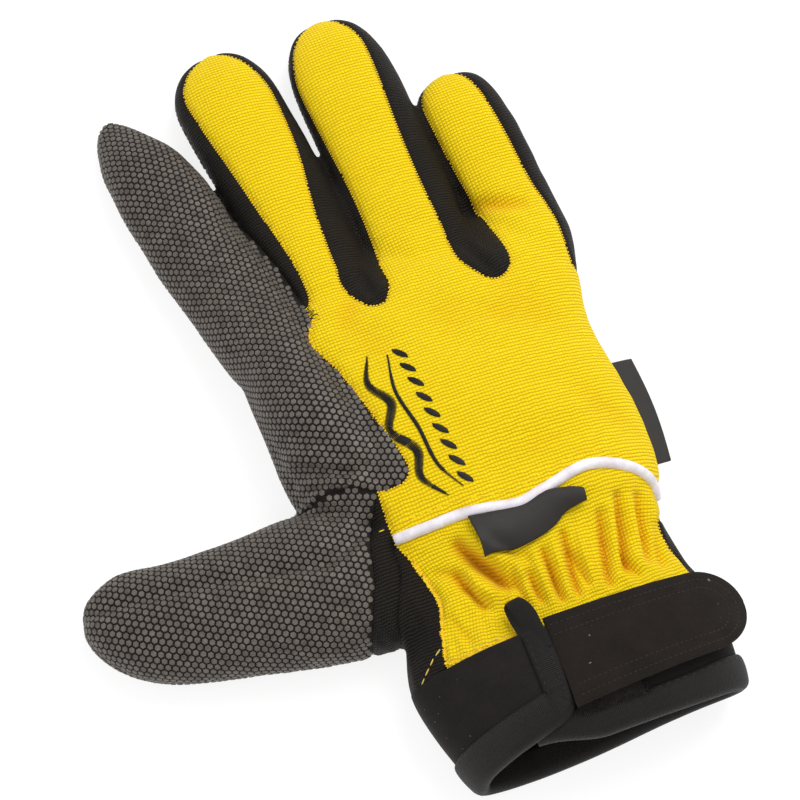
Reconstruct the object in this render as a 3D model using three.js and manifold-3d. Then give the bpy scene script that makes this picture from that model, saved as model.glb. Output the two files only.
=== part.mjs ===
// Fishing glove for the right hand, lying palm down with its cuff standing open.
// Millimetres. +Y runs from the cuff to the fingertips, the thumb points to -X, +Z is up from the
// surface that the glove lies on, and the origin is the middle of its footprint.
import * as THREE from "three";
import { mergeVertices } from "three/addons/utils/BufferGeometryUtils.js";
import Module from "manifold-3d";

const wasm = await Module();
wasm.setup();

// Lengths along the hand
const cuffLength = 33;
const wristLength = 38; // top of the cuff to the piping
const handLength = 94; // piping to the roots of the fingers
const webDepth = 9; // how far the palm reaches on between the fingers

// Widths and heights of the hand as it lies
const cuffWidth = 96;
const wristWidth = 86;
const handWidth = 113;
const cuffHeight = 33;
const wristHeight = 31;
const handHeight = 34;
const knuckleHeight = 25;

// Fingers, measured from their roots
const indexLength = 96;
const middleLength = 97;
const ringLength = 95;
const littleLength = 70;
const thumbLength = 74;
const indexWidth = 31;
const middleWidth = 34;
const ringWidth = 36.5;
const littleWidth = 28.5;
const thumbWidth = 44;
const fingerHeight = 20;
const littleHeight = 18;
const thumbHeight = 24;

// Cloth
const clothWall = 1.8;
const gap = 0.3; // clearance between neighbouring pieces
const palmSeam = 6.5; // height of the seam between the palm side and the rest
const sideSeam = 12.5; // height of the outer seam below the back of the hand
const pipingDiameter = 3.2;

// Cuff, its bindings and the closing strap
const cuffWall = 3;
const cuffStand = 1.2; // how far the cuff stands out from the wrist
const bindingWidth = 8.5;
const bindingThickness = 0.7;
const splitAt = 0.41; // share of the cuff's width where it is split
const splitWidth = 1.2;
const tapeWidth = 6.5;
const tapeThickness = 1.8;
const loopReach = 10.5; // how far the pull loop reaches above the cuff
const strapWidth = 26;
const strapLength = 57;
const strapThickness = 2.4;
const strapHeight = 21.3; // from the rim of the cuff to the strap's middle line
const patchLength = 34;
const patchWidth = 22;
const patchThickness = 1.1;

// Labels
const labelThickness = 1.1;
const sideLabelLength = 36;
const sideLabelWidth = 5; // how far it sticks out
const sideLabelRoot = 8; // how far it reaches in under the back of the hand

const materials = {
  yellowFabric: new THREE.MeshStandardMaterial({ color: 0xedcb1b, roughness: 0.85, metalness: 0 }),
  blackFabric: new THREE.MeshStandardMaterial({ color: 0x2f2b27, roughness: 0.9, metalness: 0 }),
  gripFabric: new THREE.MeshStandardMaterial({ color: 0x554f48, roughness: 0.6, metalness: 0 }),
  neoprene: new THREE.MeshStandardMaterial({ color: 0x24201f, roughness: 0.85, metalness: 0 }),
  tape: new THREE.MeshStandardMaterial({ color: 0x211c1a, roughness: 0.8, metalness: 0 }),
  strapFabric: new THREE.MeshStandardMaterial({ color: 0x2a2522, roughness: 0.95, metalness: 0 }),
  piping: new THREE.MeshStandardMaterial({ color: 0xebe1e4, roughness: 0.5, metalness: 0 }),
  label: new THREE.MeshStandardMaterial({ color: 0x514841, roughness: 0.8, metalness: 0 }),
};

// Stations along the hand: -2 is the rim of the cuff, -1 its top, 0 the piping, 1 the finger roots
const pipingY = cuffLength + wristLength;
function yAt(along) {
  if (along < -1) return (along + 2) * cuffLength;
  if (along < 0) return cuffLength + (along + 1) * wristLength;
  return pipingY + along * handLength;
}
function alongAt(y) {
  if (y < cuffLength) return y / cuffLength - 2;
  if (y < pipingY) return (y - cuffLength) / wristLength - 1;
  return (y - pipingY) / handLength;
}

const webEnd = 1 + webDepth / handLength;

// Sections across the hand, from the rim to the webs. left and right are the reach to each side of
// the cuff's middle line, top is the height of the back.
const bodySections = [
  { along: -2.0, left: 0.45 * cuffWidth, right: 0.49 * cuffWidth, top: 0.92 * cuffHeight },
  { along: -1.35, left: 0.51 * cuffWidth, right: 0.5 * cuffWidth, top: 1.0 * cuffHeight },
  { along: -1.0, left: 0.51 * cuffWidth, right: 0.48 * cuffWidth, top: 0.97 * cuffHeight },
  { along: -0.7, left: 0.535 * wristWidth, right: 0.5 * wristWidth, top: 0.97 * wristHeight },
  { along: -0.4, left: 0.505 * wristWidth, right: 0.48 * wristWidth, top: 0.98 * wristHeight },
  { along: -0.12, left: 0.505 * wristWidth, right: 0.505 * wristWidth, top: 1.03 * wristHeight },
  { along: 0.04, left: 0.405 * handWidth, right: 0.415 * handWidth, top: 0.98 * handHeight },
  { along: 0.24, left: 0.52 * handWidth, right: 0.425 * handWidth, top: 1.0 * handHeight },
  { along: 0.34, left: 0.552 * handWidth, right: 0.415 * handWidth, top: 1.0 * handHeight },
  { along: 0.58, left: 0.564 * handWidth, right: 0.398 * handWidth, top: 0.94 * handHeight },
  { along: 0.82, left: 0.567 * handWidth, right: 0.437 * handWidth, top: 1.14 * knuckleHeight },
  { along: 0.92, left: 0.55 * handWidth, right: 0.447 * handWidth, top: 1.02 * knuckleHeight },
  { along: 1.0, left: 0.53 * handWidth, right: 0.44 * handWidth, top: 0.84 * knuckleHeight },
  { along: webEnd, left: 0.5 * handWidth, right: 0.41 * handWidth, top: 0.6 * knuckleHeight },
];

// Every width in the table is linear between two stations
function sectionAt(along) {
  const last = bodySections.length - 1;
  let i = 0;
  while (i < last - 1 && bodySections[i + 1].along < along) i += 1;
  const [a, b] = [bodySections[i], bodySections[i + 1]];
  const t = THREE.MathUtils.clamp((along - a.along) / (b.along - a.along), 0, 1);
  const mix = (column) => a[column] + (b[column] - a[column]) * t;
  return { left: mix("left"), right: mix("right"), top: mix("top") };
}

// A point of the hand seen from above: across is 0 at the thumb side and 1 at the other
function at(across, along) {
  const { left, right } = sectionAt(along);
  return [-left + across * (left + right), yAt(along)];
}

// Fingers. along runs from root to tip, bow shifts the section sideways, and backLeft and backRight
// are where the yellow back starts and ends. All but along are shares of the width and the height.
const fingers = {
  index: {
    root: [0.1, 0.87], lean: 13.3, length: indexLength, width: indexWidth, height: fingerHeight,
    rows: [
      { along: 0.0, bow: 0, width: 0.97, height: 1.42 },
      { along: 0.22, bow: 0, width: 1.0, height: 1.18 },
      { along: 0.48, bow: 0, width: 0.97, height: 1.0 },
      { along: 0.62, bow: -0.01, width: 0.94, height: 0.95 },
      { along: 0.74, bow: -0.01, width: 0.82, height: 0.86 },
      { along: 0.84, bow: 0, width: 0.66, height: 0.74 },
      { along: 0.92, bow: 0.02, width: 0.44, height: 0.58 },
      { along: 1.0, bow: 0.04, width: 0.13, height: 0.36 },
    ],
  },
  middle: {
    root: [0.295, 1.0], lean: 3.5, length: middleLength, width: middleWidth, height: fingerHeight,
    rows: [
      { along: -0.18, bow: 0, width: 0.74, height: 1.2, backLeft: -0.19, backRight: 0.25 },
      { along: 0.0, bow: 0, width: 0.88, height: 1.18, backLeft: -0.19, backRight: 0.17 },
      { along: 0.26, bow: 0, width: 0.95, height: 1.02, backLeft: -0.23, backRight: 0.22 },
      { along: 0.5, bow: 0, width: 0.99, height: 0.97, backLeft: -0.33, backRight: 0.31 },
      { along: 0.74, bow: 0, width: 1.0, height: 0.92, backLeft: -0.43, backRight: 0.35 },
      { along: 0.86, bow: 0, width: 0.9, height: 0.84, backLeft: -0.4, backRight: 0.32 },
      { along: 0.94, bow: 0, width: 0.66, height: 0.7, backLeft: -0.26, backRight: 0.2 },
      { along: 0.98, bow: 0, width: 0.42, height: 0.56, backLeft: -0.12, backRight: 0.1 },
      { along: 1.0, bow: 0, width: 0.18, height: 0.42, backLeft: -0.02, backRight: 0.02 },
    ],
  },
  ring: {
    root: [0.595, 1.0], lean: 2.4, length: ringLength, width: ringWidth, height: fingerHeight,
    rows: [
      { along: -0.18, bow: 0, width: 0.78, height: 1.18, backLeft: -0.4, backRight: 0.22 },
      { along: 0.0, bow: 0, width: 0.93, height: 1.14, backLeft: -0.38, backRight: 0.2 },
      { along: 0.26, bow: 0, width: 0.98, height: 1.0, backLeft: -0.38, backRight: 0.2 },
      { along: 0.5, bow: 0, width: 0.97, height: 0.97, backLeft: -0.42, backRight: 0.23 },
      { along: 0.74, bow: 0, width: 0.96, height: 0.92, backLeft: -0.44, backRight: 0.28 },
      { along: 0.86, bow: 0, width: 0.84, height: 0.84, backLeft: -0.38, backRight: 0.28 },
      { along: 0.94, bow: 0, width: 0.6, height: 0.7, backLeft: -0.24, backRight: 0.18 },
      { along: 0.98, bow: 0, width: 0.38, height: 0.56, backLeft: -0.11, backRight: 0.09 },
      { along: 1.0, bow: 0, width: 0.17, height: 0.42, backLeft: -0.02, backRight: 0.02 },
    ],
  },
  little: {
    root: [0.895, 0.925], lean: 2.5, length: littleLength, width: littleWidth, height: littleHeight,
    rows: [
      { along: -0.22, bow: -0.05, width: 0.7, height: 1.2, backLeft: -0.28, backRight: 0.33 },
      { along: 0.0, bow: 0, width: 0.95, height: 1.2, backLeft: -0.32, backRight: 0.33 },
      { along: 0.15, bow: 0, width: 0.98, height: 1.1, backLeft: -0.37, backRight: 0.32 },
      { along: 0.3, bow: 0, width: 0.98, height: 1.02, backLeft: -0.42, backRight: 0.27 },
      { along: 0.55, bow: 0, width: 0.98, height: 0.98, backLeft: -0.46, backRight: 0.26 },
      { along: 0.77, bow: 0, width: 0.94, height: 0.92, backLeft: -0.44, backRight: 0.24 },
      { along: 0.88, bow: 0, width: 0.82, height: 0.84, backLeft: -0.36, backRight: 0.18 },
      { along: 0.95, bow: 0, width: 0.58, height: 0.7, backLeft: -0.22, backRight: 0.12 },
      { along: 1.0, bow: 0, width: 0.2, height: 0.44, backLeft: -0.03, backRight: 0.03 },
    ],
  },
  thumb: {
    root: [-0.153, 0.053], lean: 81.5, length: thumbLength, width: thumbWidth, height: thumbHeight,
    rows: [
      { along: -0.42, bow: 0, width: 0.9, height: 1.1 },
      { along: 0.0, bow: 0, width: 1.1, height: 1.17 },
      { along: 0.44, bow: -0.08, width: 0.93, height: 0.98 },
      { along: 0.66, bow: -0.08, width: 0.83, height: 0.88 },
      { along: 0.8, bow: -0.04, width: 0.74, height: 0.78 },
      { along: 0.9, bow: -0.01, width: 0.56, height: 0.66 },
      { along: 0.97, bow: 0.02, width: 0.34, height: 0.5 },
      { along: 1.0, bow: 0.04, width: 0.14, height: 0.36 },
    ],
  },
};

// Folds, each along a line from one point of the hand to another. depth and width are shares of the
// wall: a fold that goes down has a depth below 0.
const gathers = [
  { from: [0.236, -0.065], to: [0.371, -0.543], depth: -1.1, width: 1.6 },
  { from: [0.3, -0.1], to: [0.43, -0.45], depth: 0.5, width: 1.7 },
  { from: [0.2, -0.37], to: [0.278, -0.61], depth: -0.8, width: 1.4 },
  { from: [0.26, -0.36], to: [0.33, -0.66], depth: 0.5, width: 1.3 },
  { from: [0.454, -0.5], to: [0.463, -0.72], depth: -0.8, width: 1.1 },
  { from: [0.49, -0.36], to: [0.5, -0.78], depth: 0.5, width: 1.1 },
  { from: [0.526, -0.38], to: [0.53, -0.76], depth: -0.9, width: 1.1 },
  { from: [0.57, -0.3], to: [0.558, -0.78], depth: 0.5, width: 1.1 },
  { from: [0.609, -0.3], to: [0.585, -0.76], depth: -1.0, width: 1.2 },
  { from: [0.67, -0.3], to: [0.64, -0.78], depth: 0.5, width: 1.3 },
  { from: [0.756, -0.26], to: [0.695, -0.76], depth: -1.0, width: 1.4 },
  { from: [0.795, -0.2], to: [0.735, -0.76], depth: 0.5, width: 1.3 },
  { from: [0.834, -0.14], to: [0.78, -0.7], depth: -0.9, width: 1.3 },
  { from: [0.87, -0.2], to: [0.83, -0.72], depth: 0.5, width: 1.2 },
  { from: [0.907, -0.22], to: [0.862, -0.66], depth: -0.8, width: 1.2 },
];
const folds = [
  { from: [0.0, 0.5], to: [0.16, 0.36], depth: -0.8, width: 2.2 },
  { from: [0.02, 0.36], to: [0.2, 0.27], depth: -1.0, width: 2.0 },
  { from: [0.04, 0.43], to: [0.2, 0.31], depth: 0.5, width: 2.0 },
  { from: [0.33, 0.8], to: [0.4, 0.6], depth: -0.5, width: 4.0 },
  { from: [0.55, 0.82], to: [0.6, 0.62], depth: -0.5, width: 4.0 },
  { from: [0.76, 0.78], to: [0.9, 0.55], depth: -0.5, width: 4.0 },
  { from: [0.78, 1.16], to: [0.92, 1.08], depth: -0.9, width: 1.8 },
  { from: [0.45, 0.5], to: [0.75, 0.3], depth: 0.4, width: 7.0 },
  { from: [-0.75, 0.2], to: [-0.4, 0.12], depth: -0.7, width: 1.6 },
  { from: [-0.4, 0.12], to: [-0.15, 0.05], depth: -0.8, width: 1.8 },
  { from: [-0.15, 0.05], to: [0.12, 0.14], depth: -0.9, width: 2.0 },
];

// How far the folds move the cloth up at a point seen from above
function reliefOf(table) {
  const lines = table.map((fold) => ({
    start: new THREE.Vector3(...at(...fold.from), 0),
    end: new THREE.Vector3(...at(...fold.to), 0),
    depth: fold.depth * clothWall,
    width: fold.width * clothWall,
  }));
  return (x, y) => {
    const point = new THREE.Vector3(x, y, 0);
    const nearest = new THREE.Vector3();
    return lines.reduce((lift, { start, end, depth, width }) => {
      new THREE.Line3(start, end).closestPointToPoint(point, true, nearest);
      return lift + depth * Math.exp(-((nearest.distanceTo(point) / width) ** 2));
    }, 0);
  };
}
const handRelief = reliefOf(folds);
const wristRelief = reliefOf([...folds, ...gathers]);

// Closed solids, joined and cut
function solid(positions, triangles) {
  return new wasm.Manifold(
    new wasm.Mesh({
      numProp: 3,
      vertProperties: new Float32Array(positions),
      triVerts: new Uint32Array(triangles),
    }),
  );
}

function solidOf(geometry) {
  geometry.deleteAttribute("normal");
  geometry.deleteAttribute("uv");
  const merged = mergeVertices(geometry, 1e-3);
  return solid(merged.attributes.position.array, merged.index.array);
}

const joined = (solids) => solids.reduce((sum, next) => sum.add(next));

// A closed section across a finger or the hand: a rounded back, a flatter underside that rests on
// the surface, and cloth that is grown outwards, or inwards where grow is below 0
const bellyShare = 0.42;
const backRoundness = 2.35;
const underRoundness = 3;
const flattening = 1.2; // how much of the underside is pressed flat
const power = (value, exponent) => Math.sign(value) * Math.abs(value) ** exponent;

function ring({ centre, ahead, width, top }, grow, angles, relief) {
  const belly = bellyShare * top;
  const reach = Math.max(width / 2 + grow, gap);
  return angles.map((angle) => {
    const [c, s] = [Math.cos(angle), Math.sin(angle)];
    const across = reach * power(c, 2 / backRoundness);
    const x = centre[0] + ahead[1] * across;
    const y = centre[1] - ahead[0] * across;
    const above = (top - belly + grow) * power(s, 2 / backRoundness) + relief(x, y) * s;
    const below = (belly + flattening) * power(s, 2 / underRoundness);
    const z = belly + (s > 0 ? above : below);
    return [x, y, Math.max(z, 0, -grow)];
  });
}

// Even angles, with more of them over the back than under the palm
function anglesFor(backPoints, palmPoints) {
  const turn = (count, start) => Array.from({ length: count }, (_, i) => start + (i * Math.PI) / count);
  return [...turn(backPoints, 0), ...turn(palmPoints, Math.PI)];
}

function loft(rings) {
  const count = rings[0].length;
  const positions = rings.flat(2);
  const triangles = [];
  rings.slice(1).forEach((_, r) => {
    for (let i = 0; i < count; i += 1) {
      const j = (i + 1) % count;
      const [a, b, c, d] = [r * count + i, r * count + j, (r + 1) * count + i, (r + 1) * count + j];
      triangles.push(a, c, b, b, c, d);
    }
  });
  const end = (rings.length - 1) * count;
  for (let i = 1; i < count - 1; i += 1) {
    triangles.push(0, i, i + 1, end, end + i + 1, end + i);
  }
  return solid(positions, triangles);
}

function bodySection(along) {
  const { left, right, top } = sectionAt(along);
  return { centre: [(right - left) / 2, yAt(along)], ahead: [0, 1], width: left + right, top };
}

const handAngles = anglesFor(16, 6);
const hollowAngles = anglesFor(10, 6); // the inside shows less, and needs fewer facets
const gatherAngles = anglesFor(34, 4);
const overrun = 6; // how far a cutter reaches past what it cuts

// The hand without its fingers. An inner one runs out through the rim, so that the cuff is open.
function handBody(grow, angles = handAngles) {
  const rings = bodySections.map(({ along }) => ring(bodySection(along), grow, angles, handRelief));
  rings.push(rings.pop().map(([x, y, z]) => [x, y + grow, z]));
  if (grow < 0) rings.unshift(rings[0].map(([x, y, z]) => [x, y - overrun, z]));
  return loft(rings);
}

// The same hand from cuff to piping, fine enough for the gathers
const gathered = { start: -1.15, end: 0.25, steps: 8 };
function gatheredBody(grow) {
  const step = (gathered.end - gathered.start) / gathered.steps;
  const stations = Array.from({ length: gathered.steps + 1 }, (_, i) => gathered.start + i * step);
  return loft(stations.map((along) => ring(bodySection(along), grow, gatherAngles, wristRelief)));
}

// Where a finger's middle line is, as a place and a direction
function headingOf(lean) {
  const angle = THREE.MathUtils.degToRad(lean);
  return [-Math.sin(angle), Math.cos(angle)];
}

function fingerLine({ root, lean, length, width }, row, grow) {
  const ahead = headingOf(lean);
  const [x, y] = at(...root);
  const along = row.along * (length + grow);
  const bow = row.bow * width;
  return { centre: [x + ahead[0] * along + ahead[1] * bow, y + ahead[1] * along - ahead[0] * bow], ahead };
}

// The metacarpal of the index finger stands up under the grip panel as a soft ridge
const ridge = [
  { across: 0.14, along: 0.2, lean: 0, width: 0.7, top: 0.84 },
  { across: 0.14, along: 0.27, lean: 0, width: 1.06, top: 0.99 },
  { across: 0.14, along: 0.52, lean: 2, width: 1.14, top: 1.04 },
  { across: 0.115, along: 0.78, lean: 9, width: 1.02, top: 0.91 },
];
const ridgeSections = ridge.map(({ across, along, lean, width, top }) => ({
  centre: at(across, along), ahead: headingOf(lean), width: width * indexWidth, top: top * handHeight,
}));

const fingerAngles = anglesFor(9, 4);
const fingerHollowAngles = anglesFor(6, 4);
function fingerBody(finger, grow, angles) {
  const sections = finger.rows.map((row) => ({
    ...fingerLine(finger, row, grow),
    width: row.width * finger.width,
    top: row.height * finger.height,
  }));
  const behind = finger === fingers.index ? ridgeSections : [];
  return loft([...behind, ...sections].map((section) => ring(section, grow, angles, handRelief)));
}

function glove(grow, handFacets, fingerFacets) {
  const fingerBodies = Object.values(fingers).map((finger) => fingerBody(finger, grow, fingerFacets));
  return joined([handBody(grow, handFacets), ...fingerBodies]);
}
const outside = glove(0, handAngles, fingerAngles);
const hollow = glove(-clothWall, hollowAngles, fingerHollowAngles);
const cloth = outside.subtract(hollow);
const gatheredCloth = gatheredBody(0).subtract(gatheredBody(-clothWall));

// Outlines seen from above, and prisms that cut with them
const ceiling = 80;
function spread(points, distance) {
  const count = points.length;
  const shape = points.map((p) => new THREE.Vector2(...p));
  const turning = THREE.ShapeUtils.isClockWise(shape) ? -1 : 1;
  const quarter = -turning * (Math.PI / 2);
  const normal = (a, b) => b.clone().sub(a).normalize().rotateAround(new THREE.Vector2(), quarter);
  return shape.map((point, i) => {
    const before = normal(shape[(i + count - 1) % count], point);
    const after = normal(point, shape[(i + 1) % count]);
    const out = before.clone().add(after).normalize();
    const stretch = Math.min(1 / Math.max(out.dot(after), 0.5), 2);
    return point.clone().addScaledVector(out, distance * stretch).toArray();
  });
}

function prism(points, low, high, grow = 0) {
  const shape = new THREE.Shape(spread(points, grow).map((p) => new THREE.Vector2(...p)));
  const geometry = new THREE.ExtrudeGeometry(shape, { depth: high - low, bevelEnabled: false });
  geometry.translate(0, 0, low);
  return solidOf(geometry);
}

const outline = (rows) => rows.map(([across, along]) => at(across, along));

// A slice across the whole glove, from one distance from the rim to another
const reach = 2 * (handWidth + thumbLength);
function slice(near, far, low = -overrun) {
  return prism([[-reach, near], [reach, near], [reach, far], [-reach, far]], low, ceiling);
}

// A strip along a finger between two shares of its width
function strip(finger, leftOf, rightOf) {
  const side = (row, share) => {
    const { centre, ahead } = fingerLine(finger, row, 0);
    const across = share * finger.width;
    return [centre[0] + ahead[1] * across, centre[1] - ahead[0] * across];
  };
  const left = finger.rows.map((row) => side(row, leftOf(row)));
  const right = finger.rows.map((row) => side(row, rightOf(row)));
  return [...right, ...left.reverse()];
}

// A flat band of even width along a line, with a round far end
function band(line, width, roundEnd) {
  const points = line.map((p) => new THREE.Vector2(...p));
  const point = (i) => points[THREE.MathUtils.clamp(i, 0, points.length - 1)];
  const direction = (i) => point(i + 1).clone().sub(point(i - 1)).normalize();
  const side = (sign) => points.map((middle, i) => {
    const d = direction(i);
    return [middle.x + (sign * d.y * width) / 2, middle.y - (sign * d.x * width) / 2];
  });
  const tip = points[points.length - 1];
  const heading = direction(points.length - 1).angle();
  const arc = Array.from({ length: 9 }, (_, i) => {
    const angle = heading - Math.PI / 2 + ((i + 1) * Math.PI) / 10;
    return [tip.x + (Math.cos(angle) * width) / 2, tip.y + (Math.sin(angle) * width) / 2];
  });
  return [...side(1), ...(roundEnd ? arc : []), ...side(-1).reverse()];
}

// Seams between the pieces, as seen from above
const tongueEnd = [
  [-0.12, 0.3], [0.0, 0.262], [0.07, 0.258], [0.128, 0.246], [0.176, 0.208],
  [0.232, 0.203], [0.268, 0.215], [0.297, 0.248], [0.305, 0.301],
];
const tongueEdge = [[0.295, 0.406], [0.278, 0.519], [0.245, 0.663], [0.205, 0.784], [0.225, 0.87]];
const thumbEdge = [[0.15, 0.19], [0.043, 0.093], [-0.05, -0.1], [-0.09, -0.3], [-0.12, -0.64]];
const wristSideEdge = [[0.06, 0.02], [0.05, -0.05], [0.035, -0.16], [0.009, -0.3], [-0.016, -0.44]];
const yellowEdge = [
  [0.079, 0.05], [0.09, -0.09], [0.113, -0.284], [0.134, -0.466], [0.126, -0.64], [0.11, -1.0],
];
const pipingLine = [
  [0.085, 0.05], [0.197, 0.045], [0.308, 0.042], [0.394, 0.028], [0.487, 0.012], [0.555, 0.024],
  [0.622, 0.039], [0.681, 0.054], [0.746, 0.063], [0.816, 0.049], [0.884, 0.022], [0.944, -0.03],
  [0.974, -0.09], [0.985, -0.17],
];
const littleSideEdge = [[1.1, 0.72], [0.985, 0.8], [0.975, 0.9]];
const wristOuterEdge = [[1.1, -0.2], [0.985, -0.35], [0.965, -0.55], [0.972, -0.78], [0.972, -1.0]];
const webs = {
  indexMiddle: [[0.19, 0.95], [0.222, 0.92], [0.234, 0.97], [0.23, 1.02], [0.21, 1.3], [0.1, 1.3]],
  middleRing: [
    [0.331, 1.1], [0.328, 0.965], [0.367, 0.874], [0.388, 0.845], [0.415, 0.838], [0.44, 0.85],
    [0.455, 0.911], [0.446, 0.99], [0.46, 1.1],
  ],
  ringLittle: [
    [0.655, 1.1], [0.663, 0.913], [0.705, 0.839], [0.73, 0.808], [0.755, 0.8], [0.785, 0.812],
    [0.805, 0.853], [0.796, 0.932], [0.79, 1.1],
  ],
};

// Regions that share the cloth out among the pieces. Each takes a margin to grow by.
const tongue = [[-0.3, 0.36], ...tongueEnd, ...tongueEdge, [0.17, 1.0], [-0.3, 1.0]];
const pastThumb = -1.6; // further out than the thumb reaches
const indexRegion = (grow) => joined([
  prism(outline(tongue), -overrun, ceiling, grow),
  prism(strip(fingers.index, () => -0.75, () => 0.51), -overrun, ceiling, grow),
]);
const thumbRegion = (grow) => prism(outline([
  ...tongueEnd.slice(0, 5).reverse(), [pastThumb, 0.6], [pastThumb, -0.8], [-0.12, -0.8],
  ...thumbEdge.slice().reverse(),
]), -overrun, ceiling, grow);
const wristSideRegion = (grow) => prism(outline([
  ...wristSideEdge, [-0.016, -0.8], [-0.08, -1.0], ...yellowEdge.slice().reverse(),
]), -overrun, ceiling, grow);

const backRegion = (grow) => {
  const hand = prism(outline([
    ...pipingLine, [1.1, -0.17], ...littleSideEdge, [0.95, 1.02], [0.16, 1.02], [0.16, 0.6], [0.2, 0.26],
    [0.17, 0.2], [0.117, 0.113],
  ]), sideSeam, ceiling, grow);
  const backs = [fingers.middle, fingers.ring, fingers.little].map((finger) => (
    prism(strip(finger, (row) => row.backLeft, (row) => row.backRight), palmSeam + 2 * gap, ceiling, grow)
  ));
  return joined([hand, ...backs]);
};
const webRegion = (grow) => joined(Object.values(webs).map((web) => (
  prism(outline(web), -overrun, ceiling, grow)
)));
const wristRegion = (grow) => prism(outline([
  ...yellowEdge.slice().reverse(), ...pipingLine, [1.1, -0.17], ...wristOuterEdge,
]), sideSeam, ceiling, grow);

// Piping, laid on the cloth along its seam
function topAt([x, y]) {
  const { centre, width, top } = bodySection(alongAt(y));
  const side = Math.min(Math.abs(x - centre[0]) / (width / 2), 0.999);
  const belly = bellyShare * top;
  return belly + (top - belly) * (1 - side ** backRoundness) ** (1 / backRoundness) + handRelief(x, y);
}

const pipingSink = 0.25 * clothWall; // its middle lies a little below the face of the cloth
const pipingSteps = 24;
function pipingTube(radius, extra) {
  const points = outline(pipingLine).map(([x, y]) => new THREE.Vector3(x, y, topAt([x, y]) - pipingSink));
  const curve = new THREE.CatmullRomCurve3(points);
  const start = curve.getPoint(0).addScaledVector(curve.getTangent(0), -extra);
  const finish = curve.getPoint(1).addScaledVector(curve.getTangent(1), extra);
  const path = new THREE.CatmullRomCurve3([start, ...points, finish]);
  const round = new THREE.Shape().absarc(0, 0, radius, 0, 2 * Math.PI);
  return solidOf(new THREE.ExtrudeGeometry(round, {
    steps: pipingSteps, curveSegments: 4, bevelEnabled: false, extrudePath: path,
  }));
}
const pipingRadius = pipingDiameter / 2;
const pipingGap = 1.6 * gap; // the cutter has as few sides as the piping, so it is larger
const piping = pipingTube(pipingRadius, gap);
const pipingCutter = pipingTube(pipingRadius + pipingGap, pipingDiameter);

// The cloth of the hand, cut at the top of the cuff and at the palm seam
const half = gap / 2;
const handCloth = cloth.intersect(slice(cuffLength + half, 2 * reach));
const upper = handCloth.intersect(slice(0, 2 * reach, palmSeam + half));
const lower = handCloth.subtract(slice(0, 2 * reach, palmSeam - half));

const index = { back: upper.intersect(indexRegion(-half)), front: lower.intersect(indexRegion(-half)) };
const thumbCloth = (layer) => layer.intersect(thumbRegion(-half)).subtract(indexRegion(half));
const wristSide = upper.intersect(wristSideRegion(-half)).subtract(pipingCutter);
const back = upper.intersect(backRegion(-half))
  .subtract(webRegion(half)).subtract(indexRegion(half)).subtract(pipingCutter);
const wrist = gatheredCloth.intersect(slice(cuffLength + half, pipingY + handLength))
  .intersect(wristRegion(-half)).subtract(pipingCutter);
const palm = lower.subtract(indexRegion(half)).subtract(thumbRegion(half));

// What is left of the upper cloth is black: the webs, the outer side and the thumb's gusset
const notYellow = upper.subtract(wristRegion(half)).subtract(backRegion(half).subtract(webRegion(-half)));
const black = notYellow.subtract(indexRegion(half)).subtract(thumbRegion(half))
  .subtract(wristSideRegion(half)).subtract(pipingCutter);

// Each black piece lies between two lines that run up the hand, most of them up a finger's middle
const middleLine = (finger) => finger.rows.map((row) => fingerLine(finger, row, 0).centre);
const thumbSide = [at(-0.3, 0.6), [at(-0.3, 0)[0], 2 * reach]];
const outerSide = [at(1.3, -1.5), [at(1.3, 0)[0], 2 * reach]];
function between(left, right) {
  const past = (line) => [line[line.length - 1][0], line[line.length - 1][1] + overrun];
  return black.intersect(prism([...right, past(right), past(left), ...left.slice().reverse()],
    -overrun, ceiling, -half));
}
const [middleAxis, ringAxis, littleAxis] = [fingers.middle, fingers.ring, fingers.little].map(middleLine);
const fourchettes = {
  indexMiddle: between(thumbSide, middleAxis),
  middleRing: between(middleAxis, ringAxis),
  ringLittle: between(ringAxis, littleAxis),
};
const littleSide = between([at(0.7, -1.5), ...littleAxis], outerSide);
const gussetArea = [[-0.6, 0.4], [-0.6, -1.0], [0.3, -1.0], [0.3, 0.24], [0.1, 0.4]];
const thumbGusset = black.intersect(prism(outline(gussetArea), -overrun, ceiling));

// The cuff stands out from the wrist, split on the back, with its rim and split edge bound
function cuffBand(near, far, cover) {
  const inner = handBody(cuffStand - cuffWall - cover);
  return handBody(cuffStand + cover).subtract(inner).intersect(slice(near, far));
}
const splitX = at(splitAt, -1.5)[0];
const split = prism([
  [splitX - splitWidth / 2, -overrun], [splitX + splitWidth / 2, -overrun],
  [splitX + splitWidth / 2, cuffLength + overrun], [splitX - splitWidth / 2, cuffLength + overrun],
], cuffHeight / 2, ceiling);
const cuff = cuffBand(bindingWidth + half, cuffLength - half, 0).subtract(split);
const rimBinding = cuffBand(0, bindingWidth - half, bindingThickness).subtract(split);

// A piece laid on the cuff or the cloth, between two heights above it
function overlay(points, inner, thickness, body = handBody) {
  return body(inner + thickness).subtract(body(inner)).intersect(prism(points, cuffHeight / 2, ceiling));
}
const onCuff = cuffStand + gap;
const tapeMiddle = splitX - tapeWidth / 2;
const tapeLean = 0.06 * tapeWidth; // the tape isn't sewn on quite straight
const tapeLine = [
  [tapeMiddle, bindingWidth + gap], [tapeMiddle - tapeLean, cuffLength / 2], [tapeMiddle, cuffLength],
  [tapeMiddle - tapeLean, cuffLength + loopReach - tapeWidth / 2],
];
const tape = overlay(band(tapeLine, tapeWidth, true), onCuff, tapeThickness);

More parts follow.
